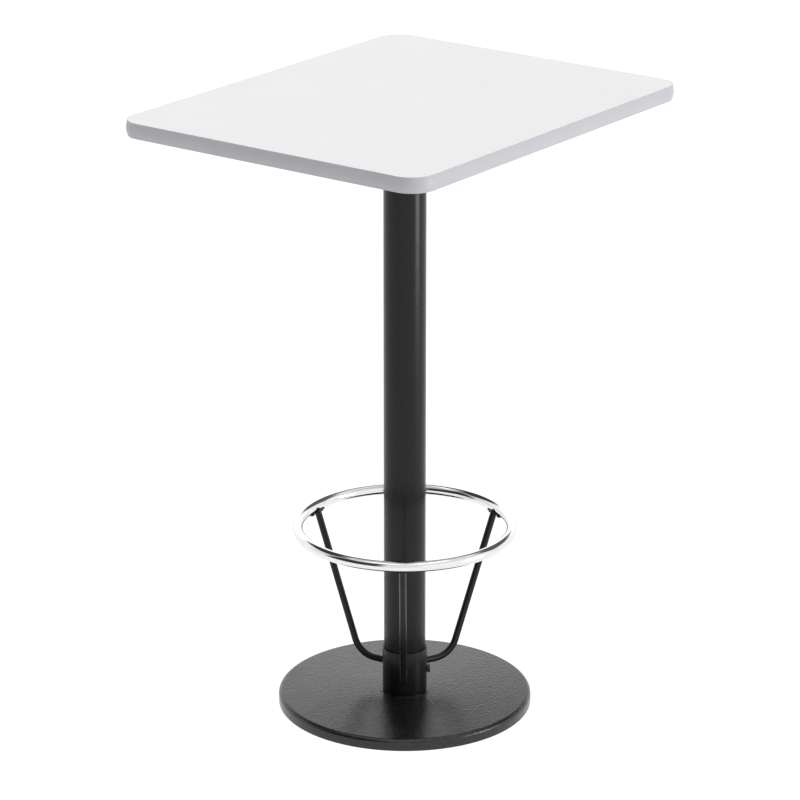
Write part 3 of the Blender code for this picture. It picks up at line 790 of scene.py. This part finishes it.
def wood_screw_places():
    """Matrices of the wood screws, their Z axes up."""
    out = [Matrix.Translation((station, 0, 0)) for station in SCREW_STATIONS]
    return [turn @ step for turn in turns(GLIDE_ANGLE, SPIDER_ARMS) for step in out]


def copies(first, name, places):
    """Objects that share one mesh, one at each place, with their numbers from 1."""
    made = []
    for i, place in enumerate(places, 1):
        obj = bpy.data.objects.new(f"{name}_{i}", first.data)
        bpy.context.scene.collection.objects.link(obj)
        obj.matrix_world = place
        made.append((i, obj))
    bpy.data.objects.remove(first)
    return made


def make_wood_screws():
    """Eight screws, driven upwards through the spider."""
    head_seat = SPIDER_HIGH - SPIDER_PLATE - HEAD_GAP
    upside_down = Matrix.Translation((0, 0, head_seat)) @ Matrix.Rotation(pi, 4, "X")
    size = (WOOD_SCREW_HEAD, WOOD_SCREW_RADIUS, WOOD_SCREW_PITCH, WOOD_SCREW_LENGTH)
    first = pan_screw("wood_screw", *size, "zinc_steel")
    places = [place @ upside_down for place in wood_screw_places()]
    for i, screw in copies(first, "top_screw", places):
        fit(screw, "table", "zinc_steel", f"wood_screw_{i}")


def make_nut(name, node):
    """A chamfered hex nut with a countersunk bore."""
    bottom = low(node).z
    top = high(node).z
    outer = hex_rings(NUT_FLATS, bottom, top)
    bore = ROD_RADIUS + NUT_CLEARANCE
    mouth = bore + NUT_SINK
    inner = [(mouth, top), (bore, top - NUT_SINK), (bore, bottom + NUT_SINK), (mouth, bottom)]
    rings = [*outer, *[circle(r, z, len(outer[0])) for r, z in inner]]
    nut = loft(name, rings, "zinc_steel", joined=True)
    fit(nut, "table", "zinc_steel", node)


def make_washer(name, node):
    """A stamped washer: one face rounded over, the other sharp."""
    bottom = low(node).z
    top = high(node).z
    bore = ROD_RADIUS + WASHER_CLEARANCE
    section = rounded(
        [
            (bore, top, 0.5 * MM),
            (WASHER_RADIUS, top, 0.7 * MM),
            (WASHER_RADIUS, bottom, 0.1 * MM),
            (bore, bottom, 0.1 * MM),
        ]
    )
    washer = turned(name, section, "zinc_steel", 64, joined=True)
    fit(washer, "table", "zinc_steel", node)


def make_tie_rod():
    """The long rod, threaded at both ends, with its nuts and washers."""
    low_end = ROD_LOW + ROD_THREAD
    high_end = ROD_HIGH - ROD_THREAD
    low_thread = thread_rings(ROD_RADIUS, ROD_PITCH, ROD_LOW, low_end, chamfer_low=MM)
    high_thread = thread_rings(ROD_RADIUS, ROD_PITCH, high_end, ROD_HIGH, chamfer_high=MM)
    plain = ROD_RADIUS - ROD_UNDERCUT
    shank = [circle(plain, z, THREAD_STEPS) for z in (low_end + MM, high_end - MM)]
    rod = loft("clamping_rod", [*low_thread, *shank, *high_thread], "zinc_steel")
    fit(rod, "table", "zinc_steel", "tie_rod")
    for end in ("top", "base"):
        make_nut(f"rod_nut_{end}", f"tie_rod_{end}_nut")
        make_washer(f"rod_washer_{end}", f"tie_rod_{end}_washer")


# ---- spider and column


def arm_section(x, half):
    """Cross-section of a spider arm, x out from the axis: plate above, filleted rib below."""
    top = SPIDER_HIGH - HUB_PROUD
    plate = SPIDER_HIGH - SPIDER_PLATE
    share = min(1.0, max(0.0, (x - SPIDER_HUB) / (SPIDER_RIB_END - SPIDER_HUB)))
    bow = 1 - SPIDER_RIB_BOW * share
    depth = max(SPIDER_RIB_DEPTH * (1 - share) * bow, SPIDER_RIB_LEAST)
    rib = min(RIB_HALF, 0.4 * half)
    edge = min(CASTING_EDGE, 0.3 * half)
    root = min(SPIDER_ROOT_FILLET, 0.45 * depth, 0.4 * half)
    tip = min(SPIDER_TIP_FILLET, 0.4 * depth)
    side = [
        (half, top, 0.3 * edge),
        (half, plate, edge),
        (rib, plate, root),
        (0.8 * rib, plate - depth, tip),
    ]
    other = [(-y, z, r) for y, z, r in reversed(side)]
    return [(x, y, z) for y, z in rounded(side + other, steps=4)]


def make_spider():
    """The cast spider: hub with spigot and nut recess, and four ribbed arms."""
    hub_low = SPIDER_HIGH - SPIDER_HUB_HEIGHT
    recess_floor = SPIDER_HIGH - SPIDER_RECESS
    bore = ROD_RADIUS + ROD_CLEARANCE
    spigot = COLUMN_RADIUS - COLUMN_WALL - SEAT_GAP
    profile = rounded(
        [
            (bore, recess_floor, 0.3 * MM),
            (NUT_RECESS, recess_floor, 1.5 * MM),
            (NUT_RECESS, SPIDER_HIGH, 0.4 * MM),
            (SPIDER_HUB, SPIDER_HIGH, 0.4 * MM),
            (SPIDER_HUB, hub_low, 2.5 * MM),
            (spigot, hub_low, 0.2 * MM),
            (spigot, SPIGOT_LOW, 1.5 * MM),
            (bore, SPIGOT_LOW, 0.5 * MM),
        ]
    )
    spider = turned("spider_casting", profile, "cast_iron_black", 96, joined=True)
    tip_centre = SPIDER_REACH - SPIDER_TIP_HALF
    stations = [(SPIDER_ROOT, SPIDER_ROOT_HALF)]
    for i in range(SPIDER_STATIONS):
        share = i / (SPIDER_STATIONS - 1)
        x = SPIDER_HUB * (1 - share) + tip_centre * share
        root_share = (tip_centre - x) / (tip_centre - SPIDER_ROOT)
        stations.append((x, SPIDER_TIP_HALF + (SPIDER_ROOT_HALF - SPIDER_TIP_HALF) * root_share))
    for i in range(1, SPIDER_STATIONS + 1):
        angle = pi / 2 * i / (SPIDER_STATIONS + 0.5)
        stations.append((tip_centre + SPIDER_TIP_HALF * sin(angle), SPIDER_TIP_HALF * cos(angle)))
    rings = [arm_section(x, half) for x, half in stations]
    places = turns(GLIDE_ANGLE, SPIDER_ARMS)
    arms = [loft("spider_arm", rings, None, matrix=place) for place in places]
    combine(spider, arms, "UNION")
    bottom = SPIDER_HIGH - 2 * SPIDER_PLATE
    drill(spider, WOOD_SCREW_HOLE, bottom, SPIDER_HIGH + MM, wood_screw_places())
    recoat(spider, "cast_iron_black")
    fit(spider, "table", "cast_iron_black", "mounting_spider")


def tube_section(inner, outer, bottom, top):
    """A cut tube's wall, its outer edges rounded more than its inner ones."""
    edge = EDGE_BREAK
    return rounded(
        [
            (inner, top, edge / 2),
            (outer, top, edge),
            (outer, bottom, edge),
            (inner, bottom, edge / 2),
        ]
    )


def make_column():
    inner = COLUMN_RADIUS - COLUMN_WALL
    section = tube_section(inner, COLUMN_RADIUS, COLUMN_LOW, COLUMN_HIGH)
    column = turned("column_shell", section, "powder_coat_black", joined=True)
    fit(column, "table", "powder_coat_black", "column_tube")


# ---- base


def base_section():
    """The base's section, from its socket over the top and round the hollow underside."""
    bore = ROD_RADIUS + ROD_CLEARANCE
    socket_floor = COLUMN_LOW - SEAT_GAP
    socket = COLUMN_RADIUS + SEAT_GAP
    wall_low = BASE_TOP - BASE_WALL
    rim_inner = BASE_RADIUS - BASE_RIM
    hub_low = BASE_LOW + BASE_HUB_RISE
    return rounded(
        [
            (bore, socket_floor, 0.3 * MM),
            (socket, socket_floor, 0),
            (socket, BOSS_HIGH, 0.3 * MM),
            (BOSS_RADIUS, BOSS_HIGH, BOSS_EDGE),
            (BOSS_RADIUS, BASE_TOP, BOSS_EDGE),
            (BASE_RADIUS, BASE_TOP, BASE_SHOULDER),
            (BASE_RADIUS, BASE_LOW, CASTING_EDGE),
            (rim_inner, BASE_LOW, CASTING_EDGE),
            (rim_inner - MM, wall_low, BASE_FILLET),
            (BASE_HUB_RADIUS, wall_low, BASE_FILLET),
            (BASE_HUB_RADIUS - BASE_HUB_DRAFT, hub_low, CASTING_EDGE),
            (NUT_RECESS, hub_low, CASTING_EDGE),
            (NUT_RECESS, NUT_RECESS_ROOF, MM),
            (bore, NUT_RECESS_ROOF, 0.3 * MM),
        ],
        steps=2 * FILLET_STEPS,
    )


def base_rib(turn):
    """A drafted rib between the hub and the rim."""
    top = BASE_TOP - BASE_WALL / 2
    bottom = BASE_LOW + RIB_RISE
    root = RIB_HALF + RIB_ROOT
    tip = RIB_HALF - RIB_TIP
    corners = [(root, top, 0), (tip, bottom, MM), (-tip, bottom, MM), (-root, top, 0)]
    section = rounded(corners, steps=4)
    ends = (BASE_HUB_RADIUS - 2 * BASE_HUB_DRAFT, BASE_RADIUS - BASE_RIM / 2)
    rings = [[(x, y, z) for y, z in section] for x in ends]
    return loft("base_rib", rings, None, matrix=turn)


def base_lug(place):
    """A tapered lug for a glide's stud."""
    top = BASE_TOP - BASE_WALL / 2
    root = LUG_RADIUS + LUG_DRAFT
    corners = [(0, top, 0), (root, top, 0), (LUG_RADIUS, BASE_LOW, CASTING_EDGE), (0, BASE_LOW, 0)]
    profile = rounded(corners, closed=False)
    return turned("base_lug", profile, None, SMALL_STEPS, matrix=place)


def glide_places():
    out = Matrix.Translation((GLIDE_CIRCLE, 0, 0))
    return [turn @ out for turn in turns(GLIDE_ANGLE, GLIDE_COUNT)]


def make_base():
    """The cast disc base, ribbed underneath."""
    base = turned("base_casting", base_section(), "cast_iron_black", joined=True)
    solids = [base_rib(turn) for turn in turns(GLIDE_ANGLE, RIB_COUNT)]
    solids += [base_lug(place) for place in glide_places()]
    combine(base, solids, "UNION")
    hole_top = high("glide_1").z + SEAT_GAP
    drill(base, STUD_RADIUS + SEAT_GAP, BASE_LOW - MM, hole_top, glide_places())
    recoat(base, "cast_iron_black")
    fit(base, "table", "cast_iron_black", "base_plate")


def make_glides():
    """Levelling glides: a moulded foot on a threaded stud."""
    foot_radius = half_width("glide_1")
    foot_high = BASE_LOW - SEAT_GAP
    stud_high = high("glide_1").z
    profile = rounded(
        [
            (0, foot_high, 0),
            (GLIDE_NECK, foot_high, 0.6 * MM),
            (GLIDE_NECK + GLIDE_NECK_FLARE, GLIDE_SHOULDER_Z, MM),
            (foot_radius, GLIDE_RIM_Z, MM),
            (foot_radius, 0, 1.2 * MM),
            (0, 0, 0),
        ],
        closed=False,
    )
    first_foot = turned("foot", profile, "nylon_black", SMALL_STEPS)
    stud_rings = thread_rings(STUD_RADIUS, STUD_PITCH, foot_high, stud_high, chamfer_high=0.8 * MM)
    first_stud = loft("stud", stud_rings, "zinc_steel")
    for i, foot in copies(first_foot, "glide_foot", glide_places()):
        fit(foot, f"glide_{i}_body", "nylon_black", f"glide_{i}")
    for i, stud in copies(first_stud, "glide_stud", glide_places()):
        fit(stud, f"glide_{i}_body", "zinc_steel")


# ---- foot ring and its carrier


def arm_turns():
    return turns(ARM_ANGLE, ARM_COUNT)


def arm_path():
    """The rod's centre line, x out from the column and z up: level run, bend, slope."""
    run_out = ARM_CORNER - ARM_BEND * tan(ARM_SLOPE / 2)
    tilts = [ARM_SLOPE * k / BEND_STEPS for k in range(BEND_STEPS + 1)]
    bend = [(run_out + ARM_BEND * sin(a), ARM_Z + ARM_BEND * (1 - cos(a))) for a in tilts]
    end = (ARM_CORNER + (RING_Z - ARM_Z) / tan(ARM_SLOPE), RING_Z)
    return [(COLLAR_RADIUS, ARM_Z), *bend, end]


def saddle_direction():
    """Angle, in the tube's section, of a saddle's middle: below where a rod's axis meets it."""
    miss = (RING_RADIUS - arm_path()[-1][0]) * sin(ARM_SLOPE)
    return pi + ARM_SLOPE - asin(miss / RING_TUBE) + SADDLE_TURN


def meet(outside, inside, gap_to):
    """The place between two points where a distance function reaches zero."""
    for _ in range(HALVINGS):
        middle = (outside + inside) / 2
        if gap_to(middle) > 0:
            outside = middle
        else:
            inside = middle
    return outside


def gap_to_collar(point):
    return hypot(point.x, point.y) - COLLAR_RADIUS


def gap_to_saddle(point):
    across = hypot(point.x, point.y) - RING_RADIUS
    return hypot(across, point.z - RING_Z) - SADDLE_OUTSIDE


def arm_rings():
    """Rings along a rod, its ends cut to fit the collar and the saddle."""
    path = arm_path()
    angles = [0.0] + [ARM_SLOPE * k / (len(path) - 3) for k in range(len(path) - 2)] + [ARM_SLOPE]
    rings = []
    for (x, z), tilt in zip(path, angles):
        ring = []
        for k in range(SMALL_STEPS):
            turn = 2 * pi * k / SMALL_STEPS
            across = ARM_RADIUS * cos(turn)
            upward = ARM_RADIUS * sin(turn)
            ring.append(Vector((x - upward * sin(tilt), across, z + upward * cos(tilt))))
        rings.append(ring)
    level = Vector((2 * ARM_RADIUS, 0, 0))
    rings[0] = [meet(point + level, point - level, gap_to_collar) for point in rings[0]]
    slope = Vector((cos(ARM_SLOPE), 0, sin(ARM_SLOPE)))
    below = slope * (2 * RING_TUBE)
    nearest = slope * ((RING_RADIUS - path[-1][0]) * cos(ARM_SLOPE))
    rings[-1] = [meet(point - below, point + nearest, gap_to_saddle) for point in rings[-1]]
    return rings


def bead_rings(line):
    """Rings of a rippled weld bead that follows a closed line."""
    centre = sum(line, Vector()) / len(line)
    rings = []
    count = len(line)
    for i, point in enumerate(line):
        along = (line[(i + 1) % count] - line[i - 1]).normalized()
        outward = (point - centre).normalized()
        upward = along.cross(outward).normalized()
        size = BEAD_RADIUS * (1 + BEAD_RIPPLE * abs(sin(pi * i / 3)))
        ring = []
        for k in range(BEAD_STEPS):
            turn = 2 * pi * k / BEAD_STEPS
            ring.append(point + outward * (size * cos(turn)) + upward * (size * sin(turn)))
        rings.append(ring)
    return rings


def make_arms():
    """Three bent rods, each welded to the collar and to its saddle."""
    coat = "powder_coat_black"
    rings = arm_rings()
    welds = {"collar": bead_rings(rings[0]), "saddle": bead_rings(rings[-1])}
    for i, turn in enumerate(arm_turns(), 1):
        rod = loft(f"arm_rod_{i}", rings, coat, matrix=turn)
        fit(rod, "foot_ring_carrier", coat, f"ring_arm_{i}")
        for end, weld in welds.items():
            bead = loft(f"{end}_weld_{i}", weld, coat, joined=True, matrix=turn)
            fit(bead, "foot_ring_carrier", coat)


def strap_ring(offset, half_angle):
    """Section of a saddle's strap at an offset along the ring."""
    tilt = saddle_direction()
    inner = RING_TUBE + SEAT_GAP / 2
    outer = SADDLE_OUTSIDE
    edge = SADDLE_EDGE
    edge_turn = edge / outer
    steps = 14
    shares = [-1 + 2 * k / steps for k in range(steps + 1)]
    corner = [(outer - 0.3 * edge, half_angle - 0.3 * edge_turn), (outer - edge, half_angle)]
    section = [(outer, (half_angle - edge_turn) * share) for share in shares]
    section += corner
    section += [(inner, -half_angle * share) for share in shares]
    section += [(radius, -angle) for radius, angle in reversed(corner)]
    turn = turn_about_column(offset / RING_RADIUS)
    return [
        turn @ Vector((RING_RADIUS + r * cos(tilt + a), 0, RING_Z + r * sin(tilt + a)))
        for r, a in section
    ]


def strap_screw_places():
    """Matrices with Z from the tube's centre out through a saddle, at the tube's centre."""
    tilt = saddle_direction()
    lean = Vector((cos(tilt), 0, sin(tilt))).to_track_quat("Z", "Y").to_matrix().to_4x4()
    tube_centre = Matrix.Translation((RING_RADIUS, 0, RING_Z))
    step = STRAP_SCREW_OFFSET / RING_RADIUS
    return [
        turn @ turn_about_column(side * step) @ tube_centre @ lean
        for turn in arm_turns()
        for side in (-1, 1)
    ]


def make_saddles():
    """Bent straps with rounded corners, under the ring at the rods' ends."""
    half = SADDLE_LENGTH / 2
    width = SADDLE_HALF_ANGLE * RING_TUBE
    offsets = [(half - SADDLE_CORNER) * (-1 + 2 * k / 10) for k in range(11)]
    sizes = [SADDLE_HALF_ANGLE] * len(offsets)
    for k in range(1, 9):
        angle = pi / 2 * k / 8
        cut = SADDLE_CORNER * (1 - cos(angle))
        place = half - SADDLE_CORNER + SADDLE_CORNER * sin(angle)
        size = SADDLE_HALF_ANGLE * (width - cut) / width
        offsets = [-place, *offsets, place]
        sizes = [size, *sizes, size]
    rings = [strap_ring(offset, size) for offset, size in zip(offsets, sizes)]
    screws = strap_screw_places()
    for i, turn in enumerate(arm_turns(), 1):
        strap = loft(f"saddle_strap_{i}", rings, "powder_coat_black", matrix=turn)
        drill(strap, STRAP_HOLE, RING_TUBE - MM, SADDLE_OUTSIDE + MM, screws[2 * i - 2 : 2 * i])
        fit(strap, "foot_ring_carrier", "powder_coat_black", f"ring_saddle_{i}")


def make_strap_screws():
    """Two pan-head screws through each saddle into the ring."""
    seat = SADDLE_OUTSIDE + HEAD_GAP
    size = (STRAP_SCREW_HEAD, STRAP_SCREW_RADIUS, STRAP_SCREW_PITCH, seat - STRAP_SCREW_REACH)
    first = pan_screw("strap_screw", *size, "screw_black")
    places = [place @ Matrix.Translation((0, 0, seat)) for place in strap_screw_places()]
    for i, screw in copies(first, "strap_screw", places):
        fit(screw, "foot_ring_carrier", "screw_black", f"saddle_screw_{i}")


def make_foot_ring():
    """The plated ring, with the faint rise of its own butt weld and the screws' holes."""
    rings = []
    for i in range(RING_STEPS):
        angle = 2 * pi * i / RING_STEPS + RING_WELD_ANGLE
        from_weld = min(i, RING_STEPS - i) * 2 * pi / RING_STEPS * RING_RADIUS
        rise = RING_WELD_RISE * max(0.0, 1 - (from_weld / (2 * RING_WELD_HALF)) ** 2)
        tube = RING_TUBE + rise
        ring = []
        for k in range(SMALL_STEPS):
            turn = 2 * pi * k / SMALL_STEPS
            out = RING_RADIUS + tube * cos(turn)
            ring.append((out * cos(angle), out * sin(angle), RING_Z + tube * sin(turn)))
        rings.append(ring)
    hoop = loft("chrome_hoop", rings, "chrome_tube", joined=True)
    drill(hoop, STRAP_HOLE, RING_TUBE / 3, RING_TUBE + MM, strap_screw_places())
    fit(hoop, "foot_ring_carrier", "chrome_tube", "foot_ring")


def set_screw_place():
    """Z points out of the collar along the set screw's axis, from the column's axis."""
    return (
        turn_about_column(SET_SCREW_ANGLE)
        @ Matrix.Translation((0, 0, SET_SCREW_Z))
        @ Matrix.Rotation(pi / 2, 4, "Y")
    )


def make_collar():
    """The collar that clamps the ring's arms to the column."""
    section = tube_section(COLUMN_RADIUS + SEAT_GAP, COLLAR_RADIUS, COLLAR_LOW, COLLAR_HIGH)
    collar = turned("collar_sleeve", section, "powder_coat_black", joined=True)
    place = set_screw_place()
    drill(collar, STUD_RADIUS + SEAT_GAP, COLUMN_RADIUS - MM, COLLAR_RADIUS + MM, [place])
    fit(collar, "foot_ring_carrier", "powder_coat_black", "ring_collar")


def make_set_screw():
    """The hex-head set screw, with a washer face under its head."""
    seat = COLLAR_RADIUS + SEAT_GAP
    tip = COLUMN_RADIUS + SEAT_GAP
    top = seat + SET_SCREW_FACE
    head = hex_rings(SET_SCREW_FLATS, top, seat + SET_SCREW_HEAD, chamfer_low=False)
    shank = thread_rings(STUD_RADIUS, STUD_PITCH, tip, seat, chamfer_low=0.6 * MM, steps=HEX_STEPS)
    collar_face = [circle(SET_SCREW_FACE_RADIUS, z, HEX_STEPS) for z in (seat, top)]
    rings = [*shank, *collar_face, *head]
    screw = loft("hex_set_screw", rings, "screw_black", matrix=set_screw_place())
    fit(screw, "set_screw", "screw_black", "collar_set_screw")


# ---- stage


def make_floor():
    """A wide pale floor that stays bright under the table."""
    material = bpy.data.materials.new("floor_white")
    material.use_nodes = True
    surface = material.node_tree.nodes["Principled BSDF"]
    surface.inputs["Base Color"].default_value = (*grey(FLOOR_COLOUR), 1)
    surface.inputs["Roughness"].default_value = 1.0
    surface.inputs["Specular IOR Level"].default_value = 0.0
    surface.inputs["Emission Color"].default_value = (1, 1, 1, 1)
    surface.inputs["Emission Strength"].default_value = FLOOR_GLOW
    floor = peg("floor", FLOOR_RADIUS, -FLOOR_DEPTH, 0.0, steps=96)
    floor.data.materials.append(material)


def world_math(tree, operation, *values):
    """A math node; each value is a number or a socket."""
    node = make_node(tree, "Math")
    node.operation = operation
    for entry, value in zip(node.inputs, values):
        feed(tree, entry, value)
    return node.outputs[0]


def soft_step(tree, value, edge, width):
    """A value turned into 0 below an edge and 1 above it, smoothly over a width."""
    ends = {"From Min": edge - width / 2, "From Max": edge + width / 2}
    step = make_node(tree, "MapRange", Value=value, **ends)
    step.interpolation_type = "SMOOTHSTEP"
    return step.outputs["Result"]


def panel_mask(tree, *sides, soft):
    """1 inside a panel of the studio and 0 outside it, with soft edges."""
    mask = None
    for value, (start, end) in sides:
        inside = soft_step(tree, value, radians(start), radians(soft))
        outside = soft_step(tree, value, radians(end), radians(soft))
        side = world_math(tree, "SUBTRACT", inside, outside)
        mask = world_math(tree, "MULTIPLY", mask, side) if mask else side
    return mask


def make_world():
    """Soft studio light: an even dome with a white sweep, soft boxes and black flags on it."""
    world = bpy.data.worlds.new("studio")
    bpy.context.scene.world = world
    world.use_nodes = True
    tree = world.node_tree
    direction = make_node(tree, "TexCoord").outputs["Generated"]
    turn = make_node(tree, "VectorRotate", Angle=-VIEW_TURN, Vector=direction)
    turn.rotation_type = "Z_AXIS"
    split = make_node(tree, "SeparateXYZ", Vector=turn.outputs["Vector"])
    heading = world_math(tree, "ARCTAN2", split.outputs["X"], split.outputs["Y"])
    height = world_math(tree, "ARCSINE", split.outputs["Z"])
    light = STUDIO_DOME
    for headings, heights, soft, panel_light in STUDIO_PANELS:
        mask = panel_mask(tree, (heading, headings), (height, heights), soft=soft)
        change = world_math(tree, "SUBTRACT", panel_light, light)
        light = world_math(tree, "MULTIPLY_ADD", mask, change, light)
    seen = make_node(tree, "LightPath").outputs["Is Camera Ray"]
    light = world_math(tree, "MAXIMUM", light, seen)
    tree.links.new(light, tree.nodes["Background"].inputs["Strength"])
    tree.nodes["Background"].inputs["Color"].default_value = (1, 1, 1, 1)


def make_side_box():
    """A soft box on the right of the camera, aimed at the column."""
    data = bpy.data.lights.new("side_box", "AREA")
    data.shape = "RECTANGLE"
    data.size, data.size_y = SIDE_BOX["size"]
    data.energy = SIDE_BOX["energy"]
    light = bpy.data.objects.new("side_box", data)
    light.location = turn_about_column(VIEW_TURN) @ Vector(SIDE_BOX["place"])
    aim = Vector(SIDE_BOX["aim"]) - light.location
    light.rotation_euler = aim.to_track_quat("-Z", "Y").to_euler()
    bpy.context.scene.collection.objects.link(light)


def make_camera():
    data = bpy.data.cameras.new("camera")
    data.sensor_width = CAMERA_SENSOR
    data.lens = CAMERA_LENS
    data.clip_end = CAMERA_CLIP
    camera = bpy.data.objects.new("camera", data)
    place = Vector((CAMERA_SIDE, -CAMERA_DISTANCE, CAMERA_HEIGHT))
    camera.location = turn_about_column(VIEW_TURN) @ place
    camera.rotation_euler = (pi / 2 - CAMERA_PITCH, 0, VIEW_TURN - CAMERA_YAW)
    bpy.context.scene.collection.objects.link(camera)
    bpy.context.scene.camera = camera


def build():
    make_camera()
    make_floor()
    make_world()
    make_side_box()
    bpy.context.scene.view_settings.view_transform = "Standard"
    make_core()
    make_top()
    make_wood_screws()
    make_spider()
    make_column()
    make_tie_rod()
    make_base()
    make_glides()
    make_foot_ring()
    make_saddles()
    make_strap_screws()
    make_arms()
    make_collar()
    make_set_screw()


build()
